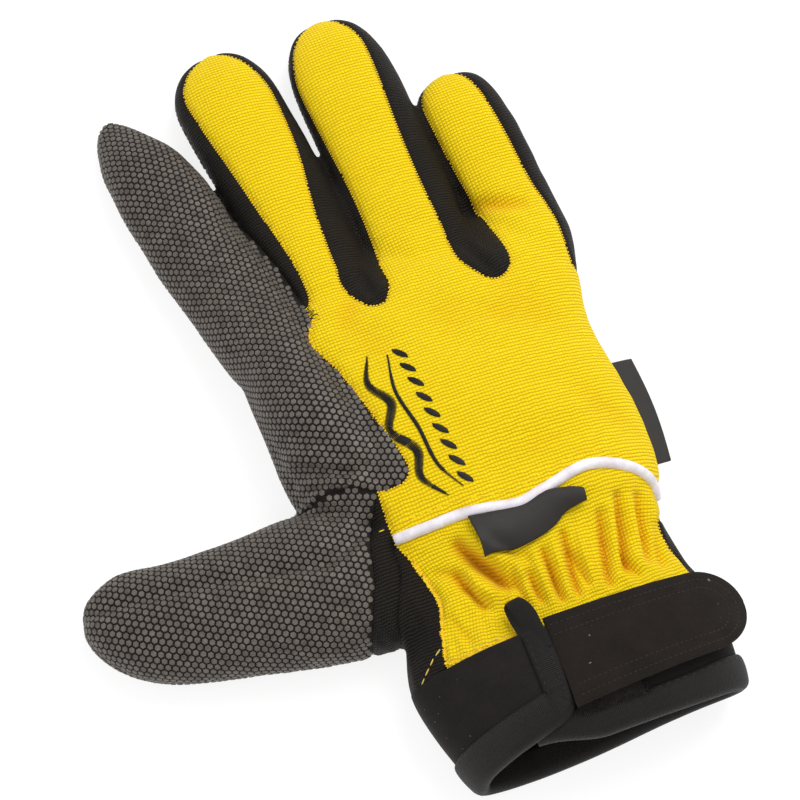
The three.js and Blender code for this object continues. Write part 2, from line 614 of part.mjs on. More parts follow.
const strapStart = splitX + splitWidth;
const patchHeight = strapHeight - gap;
const patchLine = [[strapStart, patchHeight], [strapStart + patchLength, patchHeight]];
const patch = overlay(band(patchLine, patchWidth, false), onCuff, patchThickness);
const strapRise = 0.03 * strapWidth; // it climbs a little towards its tip
const strapLine = [
  [strapStart, strapHeight - strapRise], [strapStart + 0.4 * strapLength, strapHeight],
  [strapStart + strapLength - strapWidth / 2, strapHeight + strapRise],
];
const strap = overlay(band(strapLine, strapWidth, true), onCuff + patchThickness + gap, strapThickness);

// Labels: a folded tab under the piping, and a tab that sticks out of the outer seam
const wristLabel = overlay(outline([
  [0.317, 0.02], [0.333, -0.218], [0.413, -0.274], [0.511, -0.219], [0.606, -0.194], [0.67, -0.15],
  [0.698, -0.09], [0.69, -0.02], [0.622, 0.02], [0.555, 0.0], [0.487, -0.02], [0.4, 0.01],
]), 2 * gap, labelThickness, gatheredBody).subtract(pipingCutter);
const [labelX, labelY] = at(1, 0.04);
const sideLabelLow = sideSeam + 1;
const sideLabel = prism([
  [labelX - sideLabelRoot, labelY], [labelX + 0.9 * sideLabelWidth, labelY],
  [labelX + sideLabelWidth, labelY + sideLabelLength / 2],
  [labelX + 0.9 * sideLabelWidth, labelY + sideLabelLength],
  [labelX - sideLabelRoot, labelY + sideLabelLength],
], sideLabelLow, sideLabelLow + labelThickness).subtract(handBody(gap));

const pieces = {
  back_panel: [back, materials.yellowFabric],
  wrist_panel: [wrist, materials.yellowFabric],
  piping: [piping, materials.piping],
  index_back: [index.back, materials.gripFabric],
  index_front: [index.front, materials.gripFabric],
  thumb_back: [thumbCloth(upper), materials.gripFabric],
  thumb_front: [thumbCloth(lower), materials.gripFabric],
  palm_panel: [palm, materials.gripFabric],
  fourchette_index_middle: [fourchettes.indexMiddle, materials.blackFabric],
  fourchette_middle_ring: [fourchettes.middleRing, materials.blackFabric],
  fourchette_ring_little: [fourchettes.ringLittle, materials.blackFabric],
  side_little: [littleSide, materials.blackFabric],
  thumb_gusset: [thumbGusset, materials.blackFabric],
  wrist_side: [wristSide, materials.blackFabric],
  cuff: [cuff, materials.neoprene],
  rim_binding: [rimBinding, materials.tape],
  flap_binding: [tape, materials.tape],
  loop_patch: [patch, materials.strapFabric],
  strap: [strap, materials.strapFabric],
  wrist_label: [wristLabel, materials.label],
  side_label: [sideLabel, materials.label],
};

const fishingGlove = new THREE.Group();
for (const [name, [piece, material]] of Object.entries(pieces)) {
  const { vertProperties, triVerts } = piece.getMesh();
  const geometry = new THREE.BufferGeometry();
  geometry.setAttribute("position", new THREE.BufferAttribute(vertProperties, 3));
  geometry.setIndex(new THREE.BufferAttribute(triVerts, 1));
  const mesh = new THREE.Mesh(geometry, material);
  mesh.name = name;
  fishingGlove.add(mesh);
}
const footprint = new THREE.Box3().setFromObject(fishingGlove);
const middleOf = footprint.getCenter(new THREE.Vector3());
fishingGlove.position.set(-middleOf.x, -middleOf.y, -footprint.min.z);

export default fishingGlove;
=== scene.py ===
import bisect
import itertools
import math
import random

import bmesh
import bpy
import numpy as np
from mathutils import Matrix, Vector, geometry, noise
from mathutils.bvhtree import BVHTree
from mathutils.kdtree import KDTree


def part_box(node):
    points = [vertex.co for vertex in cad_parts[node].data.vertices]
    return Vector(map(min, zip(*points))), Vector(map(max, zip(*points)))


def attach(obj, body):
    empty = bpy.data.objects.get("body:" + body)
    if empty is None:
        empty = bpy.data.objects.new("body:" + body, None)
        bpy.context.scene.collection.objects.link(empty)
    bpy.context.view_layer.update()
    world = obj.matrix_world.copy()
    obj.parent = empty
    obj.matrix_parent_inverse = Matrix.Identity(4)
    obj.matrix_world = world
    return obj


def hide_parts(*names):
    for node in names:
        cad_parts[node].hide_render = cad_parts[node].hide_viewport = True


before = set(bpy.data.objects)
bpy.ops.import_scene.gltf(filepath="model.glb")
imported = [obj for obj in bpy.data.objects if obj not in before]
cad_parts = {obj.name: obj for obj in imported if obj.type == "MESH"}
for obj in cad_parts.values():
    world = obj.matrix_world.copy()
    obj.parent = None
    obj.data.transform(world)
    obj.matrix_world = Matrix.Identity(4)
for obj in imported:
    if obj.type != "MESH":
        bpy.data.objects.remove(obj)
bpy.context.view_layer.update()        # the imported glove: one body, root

# Everything is shaped in millimetres from the middle of the cuff's rim, +Y to the fingertips and
# -X to the thumb, and is put in the frame at the end
mm = 0.001
cuffHalfWidth = 49.2
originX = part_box("cuff")[1].x / mm - cuffHalfWidth
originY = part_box("rim_binding")[0].y / mm
random.seed(11)

# Camera
view = {"azimuth": -20, "elevation": 68, "distance": 0.690, "target": (0.0211, -0.009, 0.015), "lens": 100}


def makeCamera():
    turn, rise = math.radians(view["azimuth"]), math.radians(view["elevation"])
    back = Vector((math.sin(turn) * math.cos(rise), -math.cos(turn) * math.cos(rise), math.sin(rise)))
    camera = bpy.data.objects.new("camera", bpy.data.cameras.new("camera"))
    camera.data.lens = view["lens"]
    camera.data.sensor_width = 36
    camera.location = Vector(view["target"]) + back * view["distance"]
    camera.rotation_euler = (-back).to_track_quat("-Z", "Y").to_euler()
    bpy.context.scene.collection.objects.link(camera)
    bpy.context.scene.camera = camera


makeCamera()
print("camera made")

# The hand as it lies. along is -2 at the cuff's rim, -1 at its top, 0 at the piping, 1 at the
# finger roots. left, right and top are shares of the widths and heights beside them.
hand = {
    "cuffLength": 33, "wristLength": 38, "length": 94, "webDepth": 9,
    "cuffWidth": 96, "wristWidth": 86, "width": 113,
    "cuffHeight": 33, "wristHeight": 31, "height": 34, "knuckleHeight": 25,
    "voxel": 1.0, "smoothing": 5, "seamDepth": 0.75, "seamWidth": 1.1, "puff": 0.35, "wall": 1.1,
}
pipingY = hand["cuffLength"] + hand["wristLength"]
handSections = [  # along, left, right, top, width and height that they are shares of
    (-2.0, 0.415, 0.465, 0.9, "cuffWidth", "cuffHeight"),
    (-1.35, 0.49, 0.48, 1.0, "cuffWidth", "cuffHeight"),
    (-1.0, 0.505, 0.475, 0.97, "cuffWidth", "cuffHeight"),
    (-0.7, 0.535, 0.5, 0.97, "wristWidth", "wristHeight"),
    (-0.4, 0.505, 0.48, 0.98, "wristWidth", "wristHeight"),
    (-0.12, 0.505, 0.505, 1.03, "wristWidth", "wristHeight"),
    (0.04, 0.405, 0.415, 0.98, "width", "height"),
    (0.24, 0.52, 0.425, 1.0, "width", "height"),
    (0.34, 0.552, 0.415, 1.0, "width", "height"),
    (0.58, 0.56, 0.398, 0.94, "width", "height"),
    (0.82, 0.567, 0.437, 1.14, "width", "knuckleHeight"),
    (0.92, 0.55, 0.447, 1.02, "width", "knuckleHeight"),
    (1.0, 0.53, 0.44, 0.84, "width", "knuckleHeight"),
    (1 + hand["webDepth"] / hand["length"], 0.5, 0.41, 0.6, "width", "knuckleHeight"),
]
bodyTable = [
    (along, left * hand[wide], right * hand[wide], top * hand[high])
    for along, left, right, top, wide, high in handSections
]

# Fingers. Rows hold along, bow, width and height, and where the yellow back starts and ends.
fingers = {
    "index": {
        "root": (0.1, 0.87), "lean": 13.3, "length": 101, "width": 31, "height": 20,
        "rows": [
            (0.0, -0.03, 0.9, 1.42), (0.19, 0, 0.98, 1.18), (0.33, -0.01, 0.98, 1.06),
            (0.43, -0.035, 0.95, 1.0), (0.54, -0.01, 0.96, 0.96), (0.66, -0.015, 0.93, 0.92),
            (0.76, -0.02, 0.83, 0.84), (0.84, -0.045, 0.71, 0.74), (0.91, -0.055, 0.53, 0.62),
            (0.965, -0.065, 0.34, 0.5), (1.0, -0.06, 0.16, 0.4),
        ],
    },
    "middle": {
        "root": (0.295, 1.0), "lean": 3.5, "length": 98.5, "width": 34, "height": 20,
        "rows": [
            (-0.18, 0, 0.74, 1.2, -0.24, 0.12), (0.0, -0.02, 0.9, 1.18, -0.22, 0.11),
            (0.26, -0.035, 1.0, 1.02, -0.27, 0.19), (0.5, -0.06, 0.99, 0.97, -0.34, 0.33),
            (0.74, -0.115, 1.0, 0.92, -0.385, 0.42), (0.86, -0.13, 0.97, 0.84, -0.38, 0.37),
            (0.94, -0.12, 0.76, 0.7, -0.26, 0.24), (0.98, -0.1, 0.5, 0.56, -0.12, 0.1),
            (1.0, -0.09, 0.26, 0.42, -0.02, 0.02),
        ],
    },
    "ring": {
        "root": (0.595, 1.0), "lean": 2.4, "length": 98, "width": 36.5, "height": 20,
        "rows": [
            (-0.18, 0, 0.78, 1.18, -0.44, 0.22), (0.0, 0, 0.93, 1.14, -0.435, 0.2),
            (0.26, 0, 0.98, 1.0, -0.4, 0.2), (0.5, 0.012, 0.95, 0.97, -0.43, 0.22),
            (0.74, 0.012, 0.94, 0.92, -0.45, 0.27), (0.86, 0, 0.84, 0.84, -0.38, 0.28),
            (0.94, 0, 0.66, 0.7, -0.27, 0.2), (0.98, 0, 0.46, 0.56, -0.14, 0.12),
            (1.0, 0, 0.24, 0.42, -0.02, 0.02),
        ],
    },
    "little": {
        "root": (0.895, 0.925), "lean": 2.5, "length": 72.5, "width": 28.5, "height": 18,
        "rows": [
            (-0.22, -0.05, 0.7, 1.2, -0.3, 0.33), (0.0, 0, 0.95, 1.2, -0.375, 0.33),
            (0.15, 0, 0.98, 1.1, -0.41, 0.32), (0.3, 0, 0.98, 1.02, -0.43, 0.27),
            (0.55, 0, 0.98, 0.98, -0.46, 0.26), (0.77, -0.03, 0.99, 0.92, -0.44, 0.26),
            (0.88, -0.04, 0.88, 0.84, -0.4, 0.22), (0.95, -0.04, 0.68, 0.7, -0.28, 0.16),
            (1.0, -0.03, 0.28, 0.44, -0.03, 0.03),
        ],
    },
    "thumb": {
        "root": (-0.153, 0.053), "lean": 81.5, "length": 74, "width": 44, "height": 24,
        "rows": [
            (-0.42, -0.06, 1.0, 1.1), (0.0, -0.05, 1.08, 1.17), (0.44, -0.09, 0.9, 0.98),
            (0.66, -0.085, 0.82, 0.88), (0.8, -0.04, 0.74, 0.78), (0.9, -0.01, 0.56, 0.66),
            (0.97, 0.02, 0.34, 0.5), (1.0, 0.04, 0.14, 0.36),
        ],
    },
}

# The index finger's bone lifts the tongue: across, along, lean, and shares of width and height
ridgeRows = [
    (0.14, 0.2, 0, 0.7, 0.84), (0.147, 0.27, 0, 1.08, 0.99), (0.148, 0.52, 2, 0.98, 1.04),
    (0.12, 0.78, 9, 0.84, 0.91),
]


# A row of a table anywhere between its rows, on a smooth curve through them
def smoothRow(table, key):
    rows = np.array([row[:len(table[0])] for row in table], float)
    keys = rows[:, 0]
    i = min(max(bisect.bisect_right(list(keys), key) - 1, 0), len(keys) - 2)

    def slope(j):
        low, high = max(j - 1, 0), min(j + 1, len(keys) - 1)
        return (rows[high] - rows[low]) / (keys[high] - keys[low])

    step = keys[i + 1] - keys[i]
    t = min(max((key - keys[i]) / step, 0), 1)
    return ((2 * t**3 - 3 * t**2 + 1) * rows[i] + (t**3 - 2 * t**2 + t) * step * slope(i)
            + (3 * t**2 - 2 * t**3) * rows[i + 1] + (t**3 - t**2) * step * slope(i + 1))


def yAt(along):
    if along < -1:
        return (along + 2) * hand["cuffLength"]
    if along < 0:
        return hand["cuffLength"] + (along + 1) * hand["wristLength"]
    return pipingY + along * hand["length"]


def alongAt(y):
    if y < hand["cuffLength"]:
        return y / hand["cuffLength"] - 2
    if y < pipingY:
        return (y - hand["cuffLength"]) / hand["wristLength"] - 1
    return (y - pipingY) / hand["length"]


# A point of the hand seen from above: across is 0 at the thumb side and 1 at the other
def at(across, along):
    alongs, lefts, rights, _ = zip(*bodyTable)
    left, right = np.interp(along, alongs, lefts), np.interp(along, alongs, rights)
    return (-left + across * (left + right), yAt(along))


# A smooth line through a few points
def smoothLine(points, steps=6):
    points = [Vector(p) for p in points]
    padded = [2 * points[0] - points[1], *points, 2 * points[-1] - points[-2]]
    line = []
    for a, b, c, d in zip(padded, padded[1:], padded[2:], padded[3:]):
        for k in range(steps):
            t = k / steps
            square, cube = 2 * a - 5 * b + 4 * c - d, 3 * b - a - 3 * c + d
            line.append(0.5 * (2 * b + (c - a) * t + square * t**2 + cube * t**3))
    return [*line, points[-1]]


def handLine(rows, steps=6):
    return [tuple(p) for p in smoothLine([at(*row) for row in rows], steps)]


def heading(lean):
    return (-math.sin(math.radians(lean)), math.cos(math.radians(lean)))


# The middle of a finger at a row, shifted sideways by a share of its width
def fingerPoint(finger, row, share=0):
    ahead = heading(finger["lean"])
    x, y = at(*finger["root"])
    forward = row[0] * finger["length"]
    aside = (row[1] + share) * finger["width"]
    return (x + ahead[0] * forward + ahead[1] * aside, y + ahead[1] * forward - ahead[0] * aside)


# A closed section: a rounded back over a flatter underside that rests on the surface
section = {"belly": 0.42, "back": 2.35, "under": 3.0, "flattening": 1.2, "points": 80}


def power(value, exponent):
    return np.sign(value) * np.abs(value) ** exponent


def ring(centre, ahead, width, top, grow=0, points=None):
    angle = np.linspace(0, 2 * math.pi, (points or section["points"]) + 1)
    belly = section["belly"] * top
    across = (width / 2 + grow) * power(np.cos(angle), 2 / section["back"])
    above = (top - belly + grow) * power(np.sin(angle), 2 / section["back"])
    below = (belly + section["flattening"]) * power(np.sin(angle), 2 / section["under"])
    z = np.maximum(belly + np.where(np.sin(angle) > 0, above, below), max(0, -grow))
    return np.stack([centre[0] + ahead[1] * across, centre[1] - ahead[0] * across, z], 1)


# A grid of points becomes a mesh: one row of points for each ring
def loft(rings, closed=True):
    bm = bmesh.new()
    bmesh.ops.create_grid(bm, x_segments=len(rings[0]) - 1, y_segments=len(rings) - 1, size=1)
    bm.verts.ensure_lookup_table()
    for vert, point in zip(bm.verts, (point for points in rings for point in points)):
        vert.co = point
    if closed:
        bmesh.ops.remove_doubles(bm, verts=bm.verts, dist=0.01)
        bmesh.ops.holes_fill(bm, edges=[edge for edge in bm.edges if edge.is_boundary], sides=0)
        bmesh.ops.recalc_face_normals(bm, faces=bm.faces)
    return bm


def objectOf(bm, name):
    mesh = bpy.data.meshes.new(name)
    bm.to_mesh(mesh)
    bm.free()
    made = bpy.data.objects.new(name, mesh)
    bpy.context.scene.collection.objects.link(made)
    return made


def applied(piece):
    depsgraph = bpy.context.evaluated_depsgraph_get()
    mesh = bpy.data.meshes.new_from_object(piece.evaluated_get(depsgraph))
    piece.modifiers.clear()
    piece.data = mesh
    return piece


def handRings(near, far, count):
    rings = []
    for along in np.linspace(near, far, count):
        _, left, right, top = smoothRow(bodyTable, along)
        rings.append(ring(((right - left) / 2, yAt(along)), (0, 1), left + right, top))
    return rings


def fingerRings(finger):
    table = [row[:4] for row in finger["rows"]]
    rings = []
    if finger is fingers["index"]:
        for across, along, lean, width, top in ridgeRows:
            size = (width * finger["width"], top * hand["height"])
            rings.append(ring(at(across, along), heading(lean), *size))
    alongs = [*np.linspace(table[0][0], 0.8, 24), *np.linspace(0.82, 1, 10)]
    for along in alongs:
        row = smoothRow(table, along)
        rings.append(ring(fingerPoint(finger, row), heading(finger["lean"]),
                          row[2] * finger["width"], row[3] * finger["height"]))
    return rings


def soften(bm):
    bmesh.ops.smooth_vert(bm, verts=bm.verts, factor=0.5, use_axis_x=True, use_axis_y=True, use_axis_z=True)


fineZone = {"from": (-38, 27, 9), "to": (60, 78, 60)}


# Nothing goes below the surface that the glove lies on
def keepAbove(verts):
    for vert in verts:
        vert.co.z = max(vert.co.z, 0)


def closedGlove():
    whole = bmesh.new()
    parts = [handRings(-1.3, bodyTable[-1][0], 60), *(fingerRings(finger) for finger in fingers.values())]
    for rings in parts:
        part = loft(rings)
        mesh = bpy.data.meshes.new("part")
        part.to_mesh(mesh)
        part.free()
        whole.from_mesh(mesh)
        bpy.data.meshes.remove(mesh)
    glove = objectOf(whole, "closedGlove")
    remesh = glove.modifiers.new("one skin", "REMESH")
    remesh.mode = "VOXEL"
    remesh.voxel_size = hand["voxel"]
    applied(glove)
    bm = bmesh.new()
    bm.from_mesh(glove.data)
    bpy.data.objects.remove(glove)
    for _ in range(hand["smoothing"]):
        soften(bm)
    # The cloth ends just inside the top of the cuff
    bmesh.ops.bisect_plane(bm, geom=[*bm.verts, *bm.edges, *bm.faces], dist=0.001, clear_outer=True,
                           plane_co=(0, hand["cuffLength"] - 3, 0), plane_no=(0, -1, 0))
    # Finer on the back of the wrist, for the gathers
    low, high = Vector(fineZone["from"]), Vector(fineZone["to"])
    wrist = {vert for vert in bm.verts if all(low[k] < vert.co[k] < high[k] for k in range(3))}
    edges = [edge for edge in bm.edges if wrist.issuperset(edge.verts)]
    bmesh.ops.subdivide_edges(bm, edges=edges, cuts=1, use_grid_fill=True)
    bmesh.ops.triangulate(bm, faces=[face for face in bm.faces if len(face.verts) > 4])
    keepAbove(bm.verts)
    return bm


# Folds: from, to, depth and width in mm. Down is below 0.
gathers = [
    ((0.25, -0.12), (0.371, -0.543), -6.4, 2.2), ((0.31, -0.14), (0.42, -0.45), 2.6, 2.6),
    ((0.209, -0.34), (0.278, -0.62), -4.6, 1.6), ((0.262, -0.36), (0.33, -0.66), 2.0, 1.8),
    ((0.454, -0.5), (0.463, -0.74), -3.2, 1.3), ((0.49, -0.36), (0.497, -0.78), 1.5, 1.5),
    ((0.526, -0.38), (0.53, -0.78), -3.6, 1.3), ((0.566, -0.3), (0.556, -0.78), 1.5, 1.5),
    ((0.609, -0.3), (0.585, -0.78), -3.6, 1.4), ((0.665, -0.34), (0.645, -0.78), 1.6, 1.6),
    ((0.62, -0.46), (0.633, -0.76), -2.2, 1.1), ((0.756, -0.24), (0.695, -0.78), -3.8, 1.6),
    ((0.795, -0.2), (0.735, -0.76), 1.7, 1.7), ((0.834, -0.14), (0.77, -0.72), -3.8, 1.6),
    ((0.87, -0.2), (0.82, -0.72), 1.6, 1.8), ((0.907, -0.18), (0.862, -0.68), -3.4, 1.7),
    ((0.782, -0.58), (0.799, -0.78), -2.2, 1.1), ((0.95, -0.2), (0.92, -0.62), 1.4, 1.9),
    ((0.4, -0.4), (0.415, -0.75), -2.4, 1.3), ((0.43, -0.4), (0.44, -0.75), 1.0, 1.2),
    ((0.33, -0.55), (0.35, -0.85), -1.8, 1.5), ((0.15, -0.25), (0.24, -0.33), -1.4, 1.6),
    ((0.95, -0.42), (0.9, -0.75), -2.4, 1.4), ((0.16, -0.62), (0.2, -0.85), -1.2, 1.4),
    ((0.36, -0.2), (0.46, -0.4), -1.2, 2.4), ((0.24, -0.5), (0.4, -0.62), 1.2, 2.2),
]
folds = [
    ((0.0, 0.5), (0.16, 0.36), -2.2, 3.8), ((0.02, 0.36), (0.2, 0.27), -3.4, 2.6),
    ((0.03, 0.3), (0.12, 0.22), -1.8, 1.6), ((0.1, 0.38), (0.2, 0.33), -1.6, 1.5),
    ((0.13, 0.31), (0.22, 0.3), -1.5, 1.4), ((0.41, 0.86), (0.385, 0.99), -1.6, 1.3),
    ((0.755, 0.82), (0.7, 0.97), -1.6, 1.3), ((0.44, 0.9), (0.4, 0.87), 0.9, 1.5),
    ((0.04, 0.43), (0.2, 0.31), 1.0, 3.4), ((0.33, 0.8), (0.4, 0.6), -1.0, 7.0),
    ((0.55, 0.82), (0.6, 0.62), -0.9, 7.0), ((0.76, 0.78), (0.9, 0.55), -1.0, 7.0),
    ((0.78, 1.14), (0.92, 1.06), -2.6, 2.8), ((0.45, 0.5), (0.75, 0.3), 0.8, 12.0),
    ((0.36, 0.93), (0.3, 0.8), -1.2, 3.0), ((0.66, 0.72), (0.78, 0.62), -0.9, 5.0),
    ((0.5, 0.16), (0.8, 0.2), -0.8, 6.0), ((0.83, 0.35), (0.95, 0.15), -1.1, 5.0),
    ((-0.75, 0.2), (-0.4, 0.12), -1.5, 2.2), ((-0.4, 0.12), (-0.15, 0.05), -2.0, 2.4),
    ((-0.15, 0.05), (0.12, 0.14), -2.4, 2.8), ((-0.25, 0.3), (-0.02, 0.25), -1.0, 3.0),
    ((-0.05, 0.32), (0.08, 0.28), -1.4, 1.8), ((0.0, 0.41), (0.1, 0.33), -1.1, 1.6),
    ((-0.02, 0.58), (0.1, 0.46), -0.8, 2.6), ((0.28, 1.15), (0.4, 1.05), -0.6, 4.0),
    ((0.52, 1.15), (0.68, 1.08), -0.5, 4.0), ((0.22, 1.3), (0.35, 1.26), -0.4, 3.5),
]


# The unevenness of soft cloth, in mm, with small creases round the elastic, and the fold depth at which the
# painted shade in the fold valleys is full
crumple = {"wide": 0.55, "small": 0.22, "crease": 1.1, "creaseY": 47, "creaseReach": 14, "fullShadeDepth": 3.2}


def reliefLines(table):
    return [(np.array(at(*start)), np.array(at(*end)), depth, width) for start, end, depth, width in table]


def lift(lines, xy):
    total = np.zeros(len(xy))
    for start, end, depth, width in lines:
        along = end - start
        t = np.clip(((xy - start) @ along) / (along @ along), 0, 1)
        distance = np.linalg.norm(xy - start - t[:, None] * along, axis=1)
        fade = 0.35 + 0.65 * np.sin(math.pi * (0.12 + 0.76 * t))
        total += depth * np.exp(-((distance / width) ** 2)) * fade
    return total


def pressFolds(bm):
    bm.normal_update()
    points = np.array([vert.co for vert in bm.verts])
    normals = np.array([vert.normal for vert in bm.verts])
    back = np.clip(normals[:, 2] * 1.6 + 0.25, 0, 1)
    amount = lift(reliefLines(folds + gathers), points[:, :2]) * back
    # How deep each point lies in a fold's valley, kept for the painted shade that darkens the yellow knit
    # there
    valleyShade = bm.verts.layers.float.new("valleyShade")
    for vert, normal, up, size in zip(bm.verts, normals, back, amount):
        vert[valleyShade] = min(max(-size / crumple["fullShadeDepth"] - 0.1, 0), 1)
        soft = crumple["wide"] * noise.noise(vert.co * 0.055)
        soft += crumple["small"] * noise.noise(vert.co * 0.16 + Vector((7, 3, 1)))
        wrist = math.exp(-(((vert.co.y - crumple["creaseY"]) / crumple["creaseReach"]) ** 2))
        pleat = noise.noise(Vector((vert.co.x * 0.34, vert.co.y * 0.08, vert.co.z * 0.2)))
        crease = crumple["crease"] * wrist * pleat
        vert.co += Vector(normal) * (size + (soft + crease) * (0.25 + 0.75 * up))
    keepAbove(bm.verts)
    soften(bm)


# Seams seen from above, as in the part's own outlines
seams = {
    "tongueEnd": [
        (-0.12, 0.3), (0.0, 0.262), (0.07, 0.258), (0.128, 0.246), (0.176, 0.208), (0.232, 0.203),
        (0.268, 0.215), (0.297, 0.248), (0.305, 0.301),
    ],
    "tongueEdge": [(0.295, 0.406), (0.278, 0.519), (0.245, 0.663), (0.205, 0.784), (0.225, 0.87)],
    "thumbEdge": [(0.15, 0.19), (0.043, 0.093), (-0.05, -0.1), (-0.09, -0.3), (-0.12, -0.64)],
    "wristSide": [(0.06, 0.02), (0.05, -0.05), (0.035, -0.16), (0.009, -0.3), (-0.016, -0.44)],
    "yellowEdge": [
        (0.079, 0.05), (0.09, -0.09), (0.113, -0.284), (0.134, -0.466), (0.126, -0.64), (0.11, -1.0),
    ],
    "piping": [
        (0.085, 0.05), (0.197, 0.045), (0.308, 0.042), (0.394, 0.028), (0.487, 0.012), (0.555, 0.024),
        (0.622, 0.039), (0.681, 0.054), (0.746, 0.063), (0.816, 0.049), (0.884, 0.022), (0.944, -0.03),
        (0.974, -0.09), (0.985, -0.17),
    ],
    "littleSide": [(1.1, 0.72), (0.985, 0.8), (0.975, 0.9)],
    "wristOuter": [(1.1, -0.2), (0.985, -0.35), (0.965, -0.55), (0.972, -0.78), (0.972, -1.3)],
    "indexMiddle": [
        (0.1, 1.3), (0.19, 0.95), (0.213, 0.925), (0.225, 0.96), (0.208, 1.05), (0.188, 1.15), (0.163, 1.3),
    ],
    "middleRing": [
        (0.342, 1.14), (0.32, 1.04), (0.323, 0.965), (0.365, 0.874), (0.388, 0.845), (0.415, 0.838),
        (0.44, 0.85), (0.455, 0.911), (0.447, 0.99), (0.446, 1.12),
    ],
    "ringLittle": [
        (0.67, 1.13), (0.656, 1.0), (0.664, 0.913), (0.705, 0.839), (0.73, 0.808), (0.755, 0.8),
        (0.785, 0.812), (0.805, 0.853), (0.8, 0.932), (0.806, 1.1),
    ],
}
palmSeam = 6.5
sideSeam = 12.5
curves = {name: handLine(rows) for name, rows in seams.items()}


# Distance to an outline seen from above, above 0 inside it
def inside(outline):
    corners = np.array(outline)

    def field(points):
        xy = points[:, :2]
        nearest = np.full(len(xy), 1e9)
        within = np.zeros(len(xy), bool)
        for a, b in zip(corners, np.roll(corners, -1, axis=0)):
            along = b - a
            if not along.any():
                continue
            t = np.clip(((xy - a) @ along) / (along @ along), 0, 1)
            nearest = np.minimum(nearest, np.linalg.norm(xy - a - t[:, None] * along, axis=1))
            crosses = (a[1] > xy[:, 1]) != (b[1] > xy[:, 1])
            with np.errstate(divide="ignore", invalid="ignore"):
                within ^= crosses & (xy[:, 0] < (b[0] - a[0]) * (xy[:, 1] - a[1]) / (b[1] - a[1]) + a[0])
        return np.where(within, nearest, -nearest)

    return field


def above(height):
    return lambda points: points[:, 2] - height


def either(*fields):
    return lambda points: np.max([field(points) for field in fields], axis=0)


def both(*fields):
    return lambda points: np.min([field(points) for field in fields], axis=0)


def strip(finger, leftOf, rightOf):
    rows = finger["rows"]
    left = smoothLine([fingerPoint(finger, row, leftOf(row)) for row in rows], 4)
    right = smoothLine([fingerPoint(finger, row, rightOf(row)) for row in rows], 4)
    return inside([tuple(p) for p in [*right, *reversed(left)]])


def area(*parts):
    return inside([point for part in parts for point in part])


def handPoints(*rows):
    return [at(*row) for row in rows]


# Which panel the cloth belongs to, in the order in which they are cut out. What is left is black.
def panelFields():
    index = either(
        area(handPoints((-0.3, 0.36)), curves["tongueEnd"], curves["tongueEdge"],
             handPoints((0.17, 1.0), (-0.3, 1.0))),
        strip(fingers["index"], lambda row: -0.9, lambda row: 0.49),
    )
    thumb = area(
        list(reversed(handLine(seams["tongueEnd"][:5]))),
        handPoints((-1.6, 0.6), (-1.6, -0.8), (-0.12, -0.8)),
        list(reversed(curves["thumbEdge"])),
    )
    webs = either(*(area(curves[name]) for name in ("indexMiddle", "middleRing", "ringLittle")))
    wristSide = area(
        curves["wristSide"], handPoints((-0.016, -0.8), (-0.08, -1.3), (0.11, -1.3)),
        list(reversed(curves["yellowEdge"])),
    )
    backs = [
        both(strip(fingers[name], lambda row: row[4], lambda row: row[5]), above(palmSeam + 0.6))
        for name in ("middle", "ring", "little")
    ]
    back = either(
        both(area(curves["piping"], handPoints((1.1, -0.17)), curves["littleSide"],
                  handPoints((0.95, 1.02), (0.16, 1.02), (0.16, 0.6), (0.2, 0.26), (0.17, 0.2),
                             (0.117, 0.113))),
             above(sideSeam)),
        *backs,
    )
    wrist = both(area(list(reversed(curves["yellowEdge"])), curves["piping"], handPoints((1.1, -0.17)),
                      curves["wristOuter"], handPoints((0.11, -1.3))), above(sideSeam))
    upper = above(palmSeam)

    def under(points):
        return -upper(points)

    return [
        ("index_back", both(index, upper)), ("index_front", both(index, under)),
        ("thumb_back", both(thumb, upper)), ("thumb_front", both(thumb, under)),
        ("palm_panel", under), ("wrist_side", wristSide), ("webs", webs),
        ("back_panel", back), ("wrist_panel", wrist),
    ]


# Cuts the mesh along field 0 and gives the faces inside it to a panel
def cutPanel(bm, field, number, among):
    panel, level = bm.faces.layers.int["panel"], bm.verts.layers.float["level"]
    bm.verts.ensure_lookup_table()
    values = field(np.array([vert.co for vert in bm.verts]))
    for vert, value in zip(bm.verts, values):
        vert[level] = value
    near = np.nonzero(np.abs(values) < 3 * hand["voxel"])[0]
    crossing = {edge for i in near for edge in bm.verts[i].link_edges
                if any(f[panel] in among for f in edge.link_faces)}
    for edge in sorted(crossing, key=lambda edge: edge.index):
        a, b = edge.verts
        if a[level] * b[level] >= 0:
            continue
        share = a[level] / (a[level] - b[level])
        if 0.2 < share < 0.8:
            _, middle = bmesh.utils.edge_split(edge, a, share)
            middle[level] = 0
        else:
            moved = a if share <= 0.2 else b
            moved.co = a.co.lerp(b.co, share)
            moved[level] = 0
    for face in [face for face in bm.faces if face[panel] in among]:
        queue = [face]
        while queue:
            part = queue.pop()
            levels = [vert[level] for vert in part.verts]
            if max(levels) <= 0 or min(levels) >= 0:
                continue
            verts, count = list(part.verts), len(levels)
            zeros = [i for i, value in enumerate(levels) if value == 0]
            pairs = [(i, j) for i in zeros for j in zeros if i < j and 1 < j - i < count - 1]
            if pairs:
                i, j = pairs[0]
                other, _ = bmesh.utils.face_split(part, verts[i], verts[j])
                queue += [part, other]
    for face in bm.faces:
        if face[panel] in among and sum(vert[level] for vert in face.verts) > 0:
            face[panel] = number


